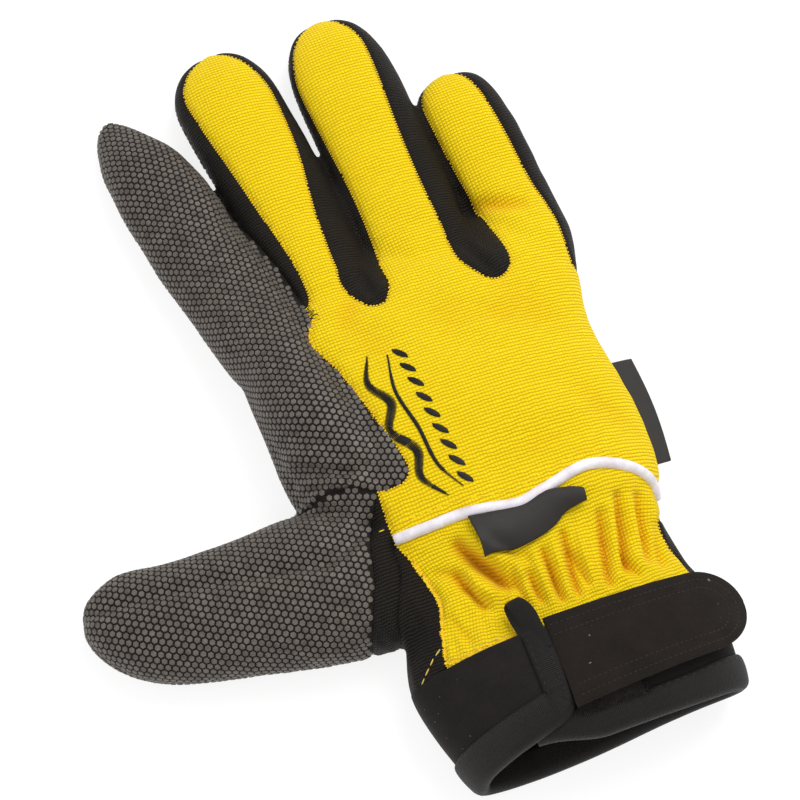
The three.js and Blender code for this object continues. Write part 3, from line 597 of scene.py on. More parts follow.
def cutPanels(bm):
    panel = bm.faces.layers.int.new("panel")
    bm.verts.layers.float.new("level")
    bm.edges.index_update()
    names = ["spare"]
    for name, field in panelFields():
        names.append(name)
        cutPanel(bm, field, len(names) - 1, (0,))
        bm.edges.index_update()
    webs = names.index("webs")
    for face in bm.faces:
        if face[panel] == webs:
            face[panel] = 0
    # The black cloth is shared out by the middles of the fingers
    middles = [[fingerPoint(fingers[name], row) for row in fingers[name]["rows"]]
               for name in ("middle", "ring", "little")]
    for face in bm.faces:
        if face[panel] == 0:
            centre = face.calc_center_median()
            lines = [np.interp(centre.y, [p[1] for p in line], [p[0] for p in line]) for line in middles]
            if centre.y < pipingY + 0.3 * hand["length"] and centre.x < 0:
                name = "thumb_gusset"
            elif centre.y < pipingY + 0.62 * hand["length"]:
                name = "side_little"
            else:
                blacks = ["fourchette_index_middle", "fourchette_middle_ring", "fourchette_ring_little",
                          "side_little"]
                name = blacks[sum(centre.x > x for x in lines)]
            if name not in names:
                names.append(name)
            face[panel] = names.index(name)
    return names


# Seams sink into the cloth, and the cloth swells a little between them
def sinkSeams(bm):
    panel = bm.faces.layers.int["panel"]
    border = [vert for vert in bm.verts if len({face[panel] for face in vert.link_faces}) > 1]
    tree = KDTree(len(border))
    for i, vert in enumerate(border):
        tree.insert(vert.co, i)
    tree.balance()
    bm.normal_update()
    for vert in bm.verts:
        distance = tree.find(vert.co)[2]
        sink = hand["seamDepth"] * math.exp(-((distance / hand["seamWidth"]) ** 2))
        swell = hand["puff"] * (1 - math.exp(-((distance / 5) ** 2)))
        vert.co += vert.normal * (swell - sink)
    keepAbove(bm.verts)


# The cloth of a panel laid flat in its UV map, in millimetres, with V along the hand
def layFlat(piece):
    bpy.context.view_layer.objects.active = piece
    piece.select_set(True)
    bpy.ops.object.mode_set(mode="EDIT")
    bpy.ops.mesh.select_all(action="SELECT")
    bpy.ops.uv.unwrap(method="MINIMUM_STRETCH", margin=0)
    bpy.ops.object.mode_set(mode="OBJECT")
    piece.select_set(False)
    mesh = piece.data
    mesh.calc_loop_triangles()
    loops = np.array([triangle.loops[:] for triangle in mesh.loop_triangles])
    corner = np.zeros(len(mesh.loops), int)
    mesh.loops.foreach_get("vertex_index", corner)
    points = np.array([vert.co[:] for vert in mesh.vertices])
    flat = np.zeros(len(mesh.loops) * 2)
    layer = mesh.uv_layers.active.data
    layer.foreach_get("uv", flat)
    flat = flat.reshape(-1, 2)
    a, b, c = (points[corner[loops[:, k]]] for k in range(3))
    p, q, r = (flat[loops[:, k]] for k in range(3))
    real = np.linalg.norm(np.cross(b - a, c - a), axis=1).sum()
    drawn = np.abs((q - p)[:, 0] * (r - p)[:, 1] - (q - p)[:, 1] * (r - p)[:, 0]).sum()
    flat -= flat.mean(axis=0)
    seen = points[corner][:, :2] - points[corner][:, :2].mean(axis=0)
    u, _, v = np.linalg.svd(flat.T @ seen)
    flat = flat @ (u @ v) * math.sqrt(real / drawn)
    layer.foreach_set("uv", flat.ravel())


# The back is one cloth with its rows straight across the hand
def grainUv(piece):
    layer = piece.data.uv_layers.new(name="grain").data
    for loop in piece.data.loops:
        place = piece.data.vertices[loop.vertex_index].co
        layer[loop.index].uv = (place.x, place.y)


def panelPieces(bm, names):
    whole = bpy.data.meshes.new("whole")
    bm.to_mesh(whole)
    pieces = {}
    for number, name in enumerate(names):
        part = bmesh.new()
        part.from_mesh(whole)
        panel = part.faces.layers.int["panel"]
        others = [face for face in part.faces if face[panel] != number]
        if len(others) == len(part.faces):
            part.free()
            continue
        bmesh.ops.delete(part, geom=others, context="FACES")
        for face in part.faces:
            face.smooth = True
        pieces[name] = objectOf(part, name + "_cloth")
        if name == "back_panel":
            grainUv(pieces[name])
        else:
            layFlat(pieces[name])
    bpy.data.meshes.remove(whole)
    return pieces


# A wall of even thickness, inwards from what is there
def thicken(piece, wall, bevel=0.0, inner=False):
    solid = piece.modifiers.new("wall", "SOLIDIFY")
    solid.thickness = wall
    solid.offset = -1
    if inner:
        solid.material_offset = 1
    if bevel:
        edge = piece.modifiers.new("soft edge", "BEVEL")
        edge.width = bevel
        edge.segments = 2
        edge.limit_method = "ANGLE"
        edge.angle_limit = math.radians(50)
    return applied(piece)


def finished(piece, materials, slot, nodes=()):
    piece.data.materials.clear()
    for material in materials:
        piece.data.materials.append(material)
    keepAbove(piece.data.vertices)
    piece.data.transform(Matrix.Scale(mm, 4) @ Matrix.Translation((originX, originY, 0)))
    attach(piece, "root")
    if nodes:
        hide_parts(*nodes)
    return piece


# Many copies of one small shape, each at a point with its own axes, joined in one mesh
def stamp(name, template, frames):
    template.verts.ensure_lookup_table()
    base = np.array([vert.co[:] for vert in template.verts])
    faces = [[vert.index for vert in face.verts] for face in template.faces]
    smooth = [face.smooth for face in template.faces]
    template.free()
    axes = np.array([[axis[:] for axis in axes] for _, axes in frames])
    places = np.array([place[:] for place, _ in frames])
    verts = (np.einsum("ij,njk->nik", base, axes) + places[:, None, :]).reshape(-1, 3)
    polygons = [[i + n * len(base) for i in face] for n in range(len(frames)) for face in faces]
    mesh = bpy.data.meshes.new(name)
    mesh.from_pydata(verts.tolist(), [], polygons)
    mesh.polygons.foreach_set("use_smooth", smooth * len(frames))
    made = bpy.data.objects.new(name, mesh)
    bpy.context.scene.collection.objects.link(made)
    return made


# Axes for a copy: along a direction, out of a surface, with sizes
def axesOf(along, normal, length=1, width=1, height=1):
    out = Vector(normal).normalized()
    ahead = Vector(along)
    ahead = (ahead - out * ahead.dot(out)).normalized()
    return (ahead * length, out.cross(ahead) * width, out * height)


plates = {
    "sides": 6, "pitch": 2.2, "across": 1.74, "height": 0.36, "chamfer": 0.13, "draft": 0.95,
    "margin": 0.6,
}


def plateShape():
    radius = plates["across"] / math.sqrt(3)
    bm = bmesh.new()
    bmesh.ops.create_cone(bm, cap_ends=True, segments=plates["sides"], radius1=radius,
                          radius2=radius * plates["draft"], depth=plates["height"])
    top = [edge for edge in bm.edges if all(vert.co.z > 0 for vert in edge.verts)]
    bmesh.ops.bevel(bm, geom=top, offset=plates["chamfer"], segments=1, profile=0.5, affect="EDGES",
                    material=-1)
    bmesh.ops.translate(bm, verts=bm.verts, vec=(0, 0, plates["height"] * 0.35))
    return bm


# Hexagonal plates in a lattice on the flat cloth, carried to the cloth as it lies
def guardPlates(piece, name):
    mesh = piece.data
    mesh.calc_loop_triangles()
    layer = mesh.uv_layers.active.data
    flat = [Vector((*layer[i].uv, 0)) for i in range(len(layer))]
    corners = [tuple(triangle.loops) for triangle in mesh.loop_triangles]
    tree = BVHTree.FromPolygons(flat, corners)
    places = [vert.co.copy() for vert in mesh.vertices]
    normals = [normal.vector.copy() for normal in mesh.vertex_normals]
    bm = bmesh.new()
    bm.from_mesh(mesh)
    edge = [vert.co.copy() for vert in bm.verts if vert.is_boundary]
    bm.free()
    border = KDTree(len(edge))
    for i, point in enumerate(edge):
        border.insert(point, i)
    border.balance()
    low = [min(point[k] for point in flat) for k in (0, 1)]
    high = [max(point[k] for point in flat) for k in (0, 1)]
    rowStep = plates["pitch"] * math.sqrt(3) / 2
    frames = []
    for row in range(math.ceil((high[0] - low[0]) / rowStep)):
        for column in range(math.ceil((high[1] - low[1]) / plates["pitch"])):
            shifted = column + 0.5 * (row % 2)
            at2d = Vector((low[0] + row * rowStep, low[1] + shifted * plates["pitch"], 1))
            _, _, index, _ = tree.ray_cast(at2d, Vector((0, 0, -1)))
            if index is None:
                continue
            at2d.z = 0
            loops = corners[index]
            drawn = [flat[i] for i in loops]
            verts = [mesh.loops[i].vertex_index for i in loops]
            real = [places[i] for i in verts]
            place = geometry.barycentric_transform(at2d, *drawn, *real)
            if border.find(place)[2] < plates["margin"]:
                continue
            ahead = geometry.barycentric_transform(at2d + Vector((0, 0.2, 0)), *drawn, *real) - place
            normal = geometry.barycentric_transform(at2d, *drawn, *(normals[i] for i in verts))
            turn = axesOf(ahead, normal)
            if all(math.isfinite(axis.length) for axis in turn) and ahead.length > 0:
                frames.append((place, turn))
    return stamp(name, plateShape(), frames)


# Colours as they are seen, 0 to 255
def seen(red, green, blue):
    shares = (value / 255 for value in (red, green, blue))
    return (*(((c + 0.055) / 1.055) ** 2.4 if c > 0.04 else c / 12.92 for c in shares), 1.0)


# A node with its settings and inputs, where an input is a number, a colour or another node's output
def nodeMaker(material):
    tree = material.node_tree

    def add(kind, inputs=(), **settings):
        node = tree.nodes.new("ShaderNode" + kind)
        for key, value in settings.items():
            setattr(node, key, value)
        for key, value in dict(inputs).items():
            if isinstance(value, bpy.types.NodeSocket):
                tree.links.new(value, node.inputs[key])
            else:
                node.inputs[key].default_value = value
        return node

    def calc(operation, a, b=0.0, c=0.0):
        return add("Math", {0: a, 1: b, 2: c}, operation=operation).outputs[0]

    def blend(share, a, b):
        return add("Mix", {0: share, 6: a, 7: b}, data_type="RGBA").outputs[2]

    return add, calc, blend


def newMaterial(name, roughness, sheen=0.0, sheenRoughness=0.5, specular=0.5):
    material = bpy.data.materials.new(name)
    material.use_nodes = True
    surface = material.node_tree.nodes["Principled BSDF"]
    surface.inputs["Roughness"].default_value = roughness
    surface.inputs["Sheen Weight"].default_value = sheen
    surface.inputs["Sheen Roughness"].default_value = sheenRoughness
    surface.inputs["Specular IOR Level"].default_value = specular
    return material, surface


# Ribbed knit: rows across the hand with small cells in them, read from the cloth's flat map in mm, with
# painted shade in the grooves between them
knits = {
    "yellow": {
        "stagger": 0.0, "rib": 1.15, "cell": 1.05, "cellShare": 0.55, "light": seen(255, 232, 18),
        # valley colour: painted shade, deep orange, laid in the valleys of the folds
        "grooveShade": seen(222, 160, 0), "shade": seen(255, 218, 4), "valleyShade": seen(226, 140, 0),
        "bump": 0.42, "roughness": 0.8, "sheen": 0.04, "specular": 0.15,
    },
    "black": {
        "stagger": 0.5, "rib": 1.05, "cell": 0.9, "cellShare": 0.45, "light": seen(35, 28, 21),
        "grooveShade": seen(2, 2, 1), "shade": seen(10, 8, 6), "bump": 0.5, "roughness": 0.6, "sheen": 0.0,
        "specular": 0.24,
    },
    "tape": {
        "stagger": 0.5, "rib": 0.55, "cell": 0.5, "cellShare": 0.1, "light": seen(34, 30, 28),
        "grooveShade": seen(5, 4, 4), "shade": seen(20, 17, 16), "bump": 0.26, "roughness": 0.55,
        "sheen": 0.02, "specular": 0.26,
    },
    "label": {
        "stagger": 0.5, "rib": 0.32, "cell": 0.3, "cellShare": 0.4, "light": seen(44, 39, 36),
        "grooveShade": seen(20, 17, 15), "shade": seen(32, 28, 26), "bump": 0.05, "roughness": 0.55,
        "sheen": 0.05, "specular": 0.4,
    },
    "ground": {
        "stagger": 0.5, "rib": 0.4, "cell": 0.4, "cellShare": 0.6, "light": seen(34, 29, 26),
        "grooveShade": seen(14, 12, 10), "shade": seen(24, 20, 18), "bump": 0.06, "roughness": 0.85,
        "sheen": 0.05, "specular": 0.2,
    },
}


def knit(name):
    spec = knits[name]
    material, surface = newMaterial(name + "_knit", spec["roughness"], spec["sheen"], 0.5, spec["specular"])
    add, calc, blend = nodeMaker(material)
    coords = add("TexCoord")
    wander = add("TexNoise", {"Vector": coords.outputs["UV"], "Scale": 0.35, "Detail": 2.0})
    offset = calc("MULTIPLY", calc("SUBTRACT", wander.outputs["Fac"], 0.5), 0.8)
    flat = add("SeparateXYZ", {0: coords.outputs["UV"]})
    row = calc("ADD", calc("DIVIDE", flat.outputs["Y"], spec["rib"]), offset)
    ribs = calc("ABSOLUTE", calc("SINE", calc("MULTIPLY", row, math.pi)))
    stagger = calc("MULTIPLY", calc("FLOOR", row), spec["stagger"])
    column = calc("ADD", calc("DIVIDE", flat.outputs["X"], spec["cell"]), stagger)
    cells = calc("ABSOLUTE", calc("SINE", calc("MULTIPLY", column, math.pi)))
    bead = calc("MULTIPLY_ADD", calc("POWER", cells, 0.6), spec["cellShare"], 1 - spec["cellShare"])
    height = calc("MULTIPLY", calc("POWER", ribs, 0.6), bead)
    patches = add("TexNoise",
                  {"Vector": coords.outputs["Object"], "Scale": 55.0, "Detail": 4.0, "Roughness": 0.6})
    fuzz = add("TexNoise", {"Vector": coords.outputs["UV"], "Scale": 6.0, "Detail": 3.0})
    tone = blend(calc("MULTIPLY", patches.outputs["Fac"], 0.9), spec["light"], spec["shade"])
    # Painted shade: the grooves between the raised ribs and cells are darkened
    colour = blend(calc("MULTIPLY", calc("SUBTRACT", 1.0, height), 0.85), tone, spec["grooveShade"])
    colour = blend(calc("MULTIPLY", fuzz.outputs["Fac"], 0.25), colour, spec["light"])
    # Painted shade: the valleys of the folds are darkened towards deep orange
    if "valleyShade" in spec:
        valleyShade = add("Attribute", attribute_name="valleyShade").outputs["Fac"]
        colour = blend(calc("MULTIPLY", valleyShade, 0.55), colour, spec["valleyShade"])
    relief = calc("MULTIPLY_ADD", fuzz.outputs["Fac"], 0.25, height)
    bump = add("Bump", {"Height": relief, "Distance": spec["bump"] * mm, "Strength": 1.0})
    material.node_tree.links.new(colour, surface.inputs["Base Color"])
    material.node_tree.links.new(bump.outputs[0], surface.inputs["Normal"])
    return material


# Cloth with a nap or a fine face: mottled, with specks of lint
naps = {
    "neoprene": {
        "light": seen(39, 34, 31), "dark": seen(6, 5, 5), "grain": 1500.0, "bump": 0.2, "roughness": 0.8,
        "sheen": 0.03, "lint": 0.745, "lintScale": 520.0, "lintColour": seen(105, 98, 92),
    },
    "strap": {
        "light": seen(46, 39, 35), "dark": seen(9, 7, 6), "grain": 1900.0, "bump": 0.25, "roughness": 0.95,
        "sheen": 0.05, "lint": 0.735, "lintScale": 420.0, "lintColour": seen(140, 134, 128),
    },
    "patch": {
        "light": seen(52, 46, 43), "dark": seen(14, 12, 11), "grain": 1100.0, "bump": 0.5,
        "roughness": 0.95, "sheen": 0.25, "lint": 0.74, "lintScale": 600.0,
        "lintColour": seen(120, 112, 104),
    },
    "lining": {
        "light": seen(42, 37, 34), "dark": seen(18, 15, 14), "grain": 1500.0, "bump": 0.08,
        "roughness": 0.95, "sheen": 0.05, "lint": 0.8, "lintScale": 500.0,
        "lintColour": seen(60, 55, 50),
    },
}


def nap(name):
    spec = naps[name]
    material, surface = newMaterial(name + "_nap", spec["roughness"], spec["sheen"], 0.4, 0.2)
    add, calc, blend = nodeMaker(material)
    coords = add("TexCoord").outputs["Object"]
    grain = add("TexNoise", {"Vector": coords, "Scale": spec["grain"], "Detail": 3.0, "Roughness": 0.7})
    mottle = add("TexNoise", {"Vector": coords, "Scale": 140.0, "Detail": 5.0, "Roughness": 0.65})
    lint = add("TexNoise", {"Vector": coords, "Scale": spec["lintScale"], "Detail": 2.0})
    tone = calc("MULTIPLY_ADD", mottle.outputs["Fac"], 0.6, calc("MULTIPLY", grain.outputs["Fac"], 0.6))
    colour = blend(calc("SUBTRACT", tone, 0.1), spec["dark"], spec["light"])
    specks = calc("GREATER_THAN", lint.outputs["Fac"], spec["lint"])
    colour = blend(calc("MULTIPLY", specks, 0.8), colour, spec["lintColour"])
    bump = add("Bump", {"Height": grain.outputs["Fac"], "Distance": spec["bump"] * mm, "Strength": 1.0})
    material.node_tree.links.new(colour, surface.inputs["Base Color"])
    material.node_tree.links.new(bump.outputs[0], surface.inputs["Normal"])
    return material


# Smooth stuff with a little unevenness: resin plates, piping and threads
smooths = {
    "plate": {
        "light": seen(110, 102, 94), "dark": seen(70, 64, 58), "patch": 330.0, "grain": 3000.0,
        "bump": 0.03, "roughness": 0.5, "sheen": 0.0, "specular": 0.45,
    },
    "cord": {
        "light": seen(250, 246, 250), "dark": seen(214, 206, 214), "patch": 160.0, "grain": 1500.0,
        "bump": 0.06, "roughness": 0.45, "sheen": 0.15, "specular": 0.4,
    },
    "blackThread": {
        "light": seen(36, 31, 29), "dark": seen(14, 12, 11), "patch": 500.0, "grain": 4000.0, "bump": 0.04,
        "roughness": 0.5, "sheen": 0.0, "specular": 0.35,
    },
    "yellowThread": {
        "light": seen(255, 222, 30), "dark": seen(240, 194, 8), "patch": 500.0, "grain": 4000.0,
        "bump": 0.04, "roughness": 0.6, "sheen": 0.1, "specular": 0.4,
    },
    "creamThread": {
        "light": seen(236, 214, 120), "dark": seen(200, 170, 70), "patch": 500.0, "grain": 4000.0,
        "bump": 0.04, "roughness": 0.55, "sheen": 0.1, "specular": 0.4,
    },
}


def smoothStuff(name):
    spec = smooths[name]
    material, surface = newMaterial(name + "_finish", spec["roughness"], spec["sheen"], 0.4,
                                    spec["specular"])
    add, calc, blend = nodeMaker(material)
    coords = add("TexCoord").outputs["Object"]
    patches = add("TexNoise", {"Vector": coords, "Scale": spec["patch"], "Detail": 3.0, "Roughness": 0.6})
    grain = add("TexNoise", {"Vector": coords, "Scale": spec["grain"], "Detail": 2.0})
    share = calc("MULTIPLY_ADD", calc("SUBTRACT", patches.outputs["Fac"], 0.5), 2.4, 0.5)
    colour = blend(calc("MULTIPLY_ADD", grain.outputs["Fac"], 0.3, calc("SUBTRACT", share, 0.15)),
                   spec["dark"], spec["light"])
    bump = add("Bump", {"Height": grain.outputs["Fac"], "Distance": spec["bump"] * mm, "Strength": 1.0})
    material.node_tree.links.new(colour, surface.inputs["Base Color"])
    material.node_tree.links.new(bump.outputs[0], surface.inputs["Normal"])
    return material


finishes = {
    **{name: knit(name) for name in knits}, **{name: nap(name) for name in naps},
    **{name: smoothStuff(name) for name in smooths},
}
print("materials:", len(finishes))

# The cloth, panel by panel
glove = closedGlove()
print("glove skin:", len(glove.verts), "points")
pressFolds(glove)
panelNames = cutPanels(glove)
sinkSeams(glove)
cloth = panelPieces(glove, panelNames)
glove.free()
print("panels:", ", ".join(cloth))

panelFinish = {
    "back_panel": ("yellow", "yellow_fabric"), "wrist_panel": ("yellow", "yellow_fabric"),
    "index_back": ("ground", "grip_fabric"), "index_front": ("ground", "grip_fabric"),
    "thumb_back": ("ground", "grip_fabric"), "thumb_front": ("ground", "grip_fabric"),
    "palm_panel": ("ground", "grip_fabric"),
}
gripped = [name for name, (finish, _) in panelFinish.items() if finish == "ground"]
for name in gripped:
    made = guardPlates(cloth[name], name + "_plates")
    finished(made, [finishes["plate"]], "grip_fabric")
    print(made.name, len(made.data.polygons) // (2 * plates["sides"] + 2), "plates")


# Cut edges of the yellow knit: its cells stand out as a row of beads
knitEdge = {"space": 0.86, "from": 32, "out": 0.18, "length": 0.62, "width": 0.95, "height": 0.5}


def edgeBeads(piece):
    space = knitEdge["space"]
    bm = bmesh.new()
    bm.from_mesh(piece.data)
    points = [(vert.co.copy(), vert.normal.copy()) for vert in bm.verts
              if vert.is_boundary and vert.co.y > knitEdge["from"]]
    bm.free()
    taken = {}
    frames = []
    for place, normal in points:
        cell = tuple(math.floor(value / space) for value in place)
        around = itertools.product(*((value - 1, value, value + 1) for value in cell))
        if any(other in taken and (taken[other] - place).length < space for other in around):
            continue
        taken[cell] = place
        turn = Vector((random.uniform(-0.3, 0.3), 1, 0))
        axes = axesOf(turn, normal, knitEdge["length"], knitEdge["width"], knitEdge["height"])
        frames.append((place + normal * knitEdge["out"], axes))
    return frames


beadFrames = edgeBeads(cloth["back_panel"]) + edgeBeads(cloth["wrist_panel"])
skin = bmesh.new()
for piece in cloth.values():
    skin.from_mesh(piece.data)
skinTree = BVHTree.FromBMesh(skin)
skin.free()
for name, piece in cloth.items():
    finish, slotName = panelFinish.get(name, ("black", "black_fabric"))
    thicken(piece, hand["wall"], inner=True)
    finished(piece, [finishes[finish], finishes["lining"]], slotName, [name])


# A sheet from rows of (place, flat place): the flat place is its UV map in millimetres
def sheet(name, rows):
    bm = loft([[place for place, _ in row] for row in rows], closed=False)
    layer = bm.loops.layers.uv.verify()
    flat = [flatPlace for row in rows for _, flatPlace in row]
    for face in bm.faces:
        face.smooth = True
        for loop in face.loops:
            loop[layer].uv = flat[loop.vert.index]
    return objectOf(bm, name)


def treeOf(*pieces):
    bm = bmesh.new()
    for piece in pieces:
        bm.from_mesh(piece.data)
    tree = BVHTree.FromBMesh(bm)
    bm.free()
    return tree


def smoothStep(t):
    t = min(max(t, 0), 1)
    return t * t * (3 - 2 * t)


# The cuff is one band that starts under its own flap, goes round the palm and ends as the flap
cuff = {
    "stand": 0.4, "wall": 2.8, "tuck": 14, "flapLength": 42, "flapLift": 3.3, "flapRise": 8.0,
    "corner": 5.5, "around": 260, "across": 24, "split": 0.41, "level": 16,
}
splitX = at(cuff["split"], -1.5)[0]
cuffLoops = {}


def cuffLoop(y):
    key = round(y, 2)
    if key not in cuffLoops:
        _, left, right, top = smoothRow(bodyTable, max(alongAt(y), -2))
        points = ring(((right - left) / 2, y), (0, 1), left + right, top, cuff["stand"], 720)
        points = np.roll(points[:-1], -361, axis=0)[::-1]
        points = np.vstack([points, points[:1]])
        steps = np.linalg.norm(np.diff(points, axis=0), axis=1)
        arc = np.concatenate([[0], np.cumsum(steps)])
        back = np.nonzero((points[:, 2] > top / 2))[0]
        start = np.interp(splitX, points[back, 0], arc[back])
        cuffLoops[key] = (arc, points, start)
    return cuffLoops[key]


def girth(y):
    return cuffLoop(y)[0][-1]


def bandLength():
    return girth(cuff["level"])


# A place on the cuff: how far round to the right of the split, how far from the rim, how far out
def onCuff(roundAt, y, out):
    arc, points, start = cuffLoop(y)
    where = (start + roundAt) % arc[-1]
    x, z = (np.interp(where, arc, points[:, k]) for k in (0, 2))
    before, after = (where - 0.8) % arc[-1], (where + 0.8) % arc[-1]
    dx, dz = (np.interp(after, arc, points[:, k]) - np.interp(before, arc, points[:, k]) for k in (0, 2))
    normal = Vector((-dz, 0, dx)).normalized()
    place = Vector((x, y, z)) + normal * out
    return Vector((place.x, place.y, max(place.z, 0.02)))


def flapShare(roundAt):
    return 1 - (bandLength() - roundAt) / cuff["flapLength"]


def lowY(roundAt):
    rise = cuff["flapRise"] * max(flapShare(roundAt), 0) ** 1.2
    side = 3.4 * math.exp(-(((roundAt - 0.4 * bandLength()) / 32) ** 2))
    return rise + side + 0.4 + 4.2 * smoothStep((9 - roundAt) / 23)


def rimY(roundAt):
    left = bandLength() - roundAt
    corner = cuff["corner"]
    if left >= corner:
        return lowY(roundAt)
    start = lowY(bandLength() - corner)
    t = 1 - math.sqrt(max(left, 0) / corner)
    return start + 2 * t * (1 - t) * 0.2 * corner + t * t * 1.25 * corner


def flapOut(roundAt):
    return cuff["flapLift"] * smoothStep(1.6 * flapShare(roundAt))


def bandRounds():
    length = bandLength() + cuff["tuck"]
    return [-cuff["tuck"] + length * i / cuff["around"] for i in range(cuff["around"] + 1)]


def makeCuff():
    rows = []
    for j in range(cuff["across"] + 1):
        row = []
        for roundAt in bandRounds():
            top = hand["cuffLength"] + 1.2 * smoothStep(flapShare(roundAt))
            y = rimY(roundAt) + (top - rimY(roundAt)) * j / cuff["across"]
            ripple = 0.35 * noise.noise(Vector((roundAt * 0.05, y * 0.06, 3)))
            place = onCuff(roundAt * girth(y) / bandLength(), y, flapOut(roundAt) + ripple)
            row.append((place, (roundAt, y)))
        rows.append(row)
    band = thicken(sheet("cuff_neoprene", rows), cuff["wall"], 0.5, inner=True)
    return finished(band, [finishes["neoprene"], finishes["lining"]], "neoprene", ["cuff"])


# Binding tape folded over the rim and the flap's edge, mitred at the corner
binding = {"width": 8.5, "edgeWidth": 6.5, "cover": 0.75, "thickness": 0.5, "top": 33.5}


def outline():
    length = bandLength()
    steps = [-cuff["tuck"] + k for k in range(int(length - cuff["corner"] + cuff["tuck"]) + 1)]
    rim = [(roundAt, rimY(roundAt)) for roundAt in steps]
    corner = [(length - cuff["corner"] * (1 - t) ** 2, rimY(length - cuff["corner"] * (1 - t) ** 2))
              for t in np.linspace(0.08, 1, 12)]
    start = corner[-1][1]
    edge = [(length, start + (binding["top"] - start) * k / 26) for k in range(1, 27)]
    half = len(rim) + 7
    path = rim + corner + edge
    return path[:half + 1], path[half:]


# The seam that holds the binding, inwards from a point of the outline
def innerSeam(roundAt, y):
    mitre = bandLength() - binding["edgeWidth"]
    if roundAt < mitre:
        return roundAt, y + binding["width"] - 1.7 * math.exp(-(((roundAt - 22) / 26) ** 2))
    if roundAt < bandLength() - 0.01:
        return mitre, rimY(mitre) + binding["width"]
    return mitre, max(y, rimY(mitre) + binding["width"])


def bindingProfile():
    wall, cover = cuff["wall"], binding["cover"]
    middle = wall / 2
    outer = [(1, 0.1), (0.95, cover * 0.7)]
    outer += [(0.95 - 0.83 * k / 6, cover + 0.3 * math.sin(math.pi * k / 6)) for k in range(1, 7)]
    turn = [(0.12 - (middle + cover) * 0.12 * math.sin(a), -middle + (middle + cover) * math.cos(a))
            for a in (math.radians(d) for d in range(20, 180, 20))]
    inner = [(0.12 + 0.8 * k / 4, -wall - cover) for k in range(5)]
    return outer + turn + inner


def onBand(roundAt, y, out):
    out += flapOut(min(roundAt, bandLength()))
    return onCuff(roundAt * girth(max(y, 0)) / bandLength(), max(y, -3), out)


def bindingSheet(name, path):
    profile = bindingProfile()
    along = [0]
    for a, b in zip(path, path[1:]):
        along.append(along[-1] + math.dist(a, b))
    rows = []
    across = 0
    for i, (share, out) in enumerate(profile):
        if i:
            lastShare, lastOut = profile[i - 1]
            across += math.dist((share * binding["width"], out), (lastShare * binding["width"], lastOut))
        row = []
        for (roundAt, y), distance in zip(path, along):
            seamRound, seamY = innerSeam(roundAt, y)
            here = (roundAt + (seamRound - roundAt) * share, y + (seamY - y) * share)
            wobble = 0.18 * noise.noise(Vector((here[0] * 0.12, here[1] * 0.1, 9)))
            row.append((onBand(*here, out + wobble), (across, distance)))
        rows.append(row)
    return thicken(sheet(name, rows), binding["thickness"])


def seamLine(path, share, out):
    line = []
    for roundAt, y in path:
        seamRound, seamY = innerSeam(roundAt, y)
        line.append(onBand(roundAt + (seamRound - roundAt) * share, y + (seamY - y) * share, out))
    return line


# The tape goes on past the cuff, turns over and comes back down as a pull loop
pull = {
    "stations": [  # middle, y, how far out, half width
        (-3.2, 27.0, 3.9, 2.9), (-3.2, 31.0, 4.3, 3.0), (-3.2, 35.0, 5.1, 2.9), (-3.6, 38.8, 6.0, 2.9),
        (-4.5, 42.0, 6.3, 2.6), (-5.3, 43.9, 5.6, 2.1), (-5.9, 44.3, 4.4, 1.7), (-6.4, 42.5, 3.2, 1.4),
        (-6.3, 38.5, 2.7, 1.3), (-5.5, 34.5, 2.9, 1.6), (-4.8, 31.5, 3.2, 2.0),
    ],
    "thickness": 1.0,
}


def makePullLoop():
    spine = smoothLine([station[:3] for station in pull["stations"]], 6)
    halves = smoothLine([(station[3], 0) for station in pull["stations"]], 6)
    rows = []
    distance = 0
    for k, (point, half) in enumerate(zip(spine, halves)):
        if k:
            distance += (point - spine[k - 1]).length
        row = []
        for share in np.linspace(-1, 1, 9):
            tilt = 0.35 * share * half.x
            curl = 0.35 * (1 - share * share)
            place = onCuff(point.x + share * half.x, point.y + 0.2 * share, point.z + tilt + curl)
            row.append((place, (share * half.x, distance)))
        rows.append(row)
    return thicken(sheet("pull_loop", rows), pull["thickness"], 0.25)


def makeBindings():
    rim, edge = outline()
    rimPiece = bindingSheet("rim_tape", rim)
    edgePiece = bindingSheet("flap_tape", edge)
    tree = treeOf(rimPiece, edgePiece)
    loop = makePullLoop()
    frames = stitchFrames(seamLine(rim[8:], 0.9, 1.4), tree, 2.0, 0.9, 0.5, 0.05)
    frames += stitchFrames(seamLine(edge[4:], 0.88, 1.4), tree, 1.6, 0.7, 0.45, 0.05)
    frames += stitchFrames(seamLine(edge[2:], 0.2, 1.4), tree, 1.2, 0.35, 0.45, 0.0)
    finished(rimPiece, [finishes["tape"]], "tape", ["rim_binding"])
    finished(edgePiece, [finishes["tape"]], "tape", ["flap_binding"])
    finished(loop, [finishes["tape"]], "tape")
    stitches("binding_stitches", frames, "blackThread", "tape")


# Strap with a round end, and the loop patch that it is pressed on
strap = {
    "start": 0.7, "end": 60, "bend": 41, "droop": 0.012, "width": 27.4, "taper": 0.16, "middle": 22.1,
    "rise": 1.9, "out": 2.0, "thickness": 2.0, "rows": [2.4, 5.6],
}
patch = {"start": 1, "end": 21, "low": 6.0, "high": 32, "out": 0.5, "thickness": 0.9}


# Forward along the strap and aside from its middle. Past the bend it lies straight.
def strapPlace(forward, aside, extra=0.0):
    half = strap["width"] / 2
    share = forward / (strap["end"] - strap["start"])
    y = strap["middle"] + strap["rise"] * share + aside * (1 - strap["taper"] * share)
    lifted = 1.1 * smoothStep(-aside / half) + 0.5 * smoothStep(share * 2 - 1)
    out = strap["out"] + lifted + extra + 0.35 * noise.noise(Vector((forward * 0.05, aside * 0.05, 5)))
    bend = strap["bend"]
    place = onCuff(strap["start"] + min(forward, bend), y, out)
    if forward > bend:
        ahead = (place - onCuff(strap["start"] + bend - 1, y, out)).normalized()
        past = forward - bend
        place += ahead * past - Vector((0, 0, strap["droop"] * past * past))
    return place


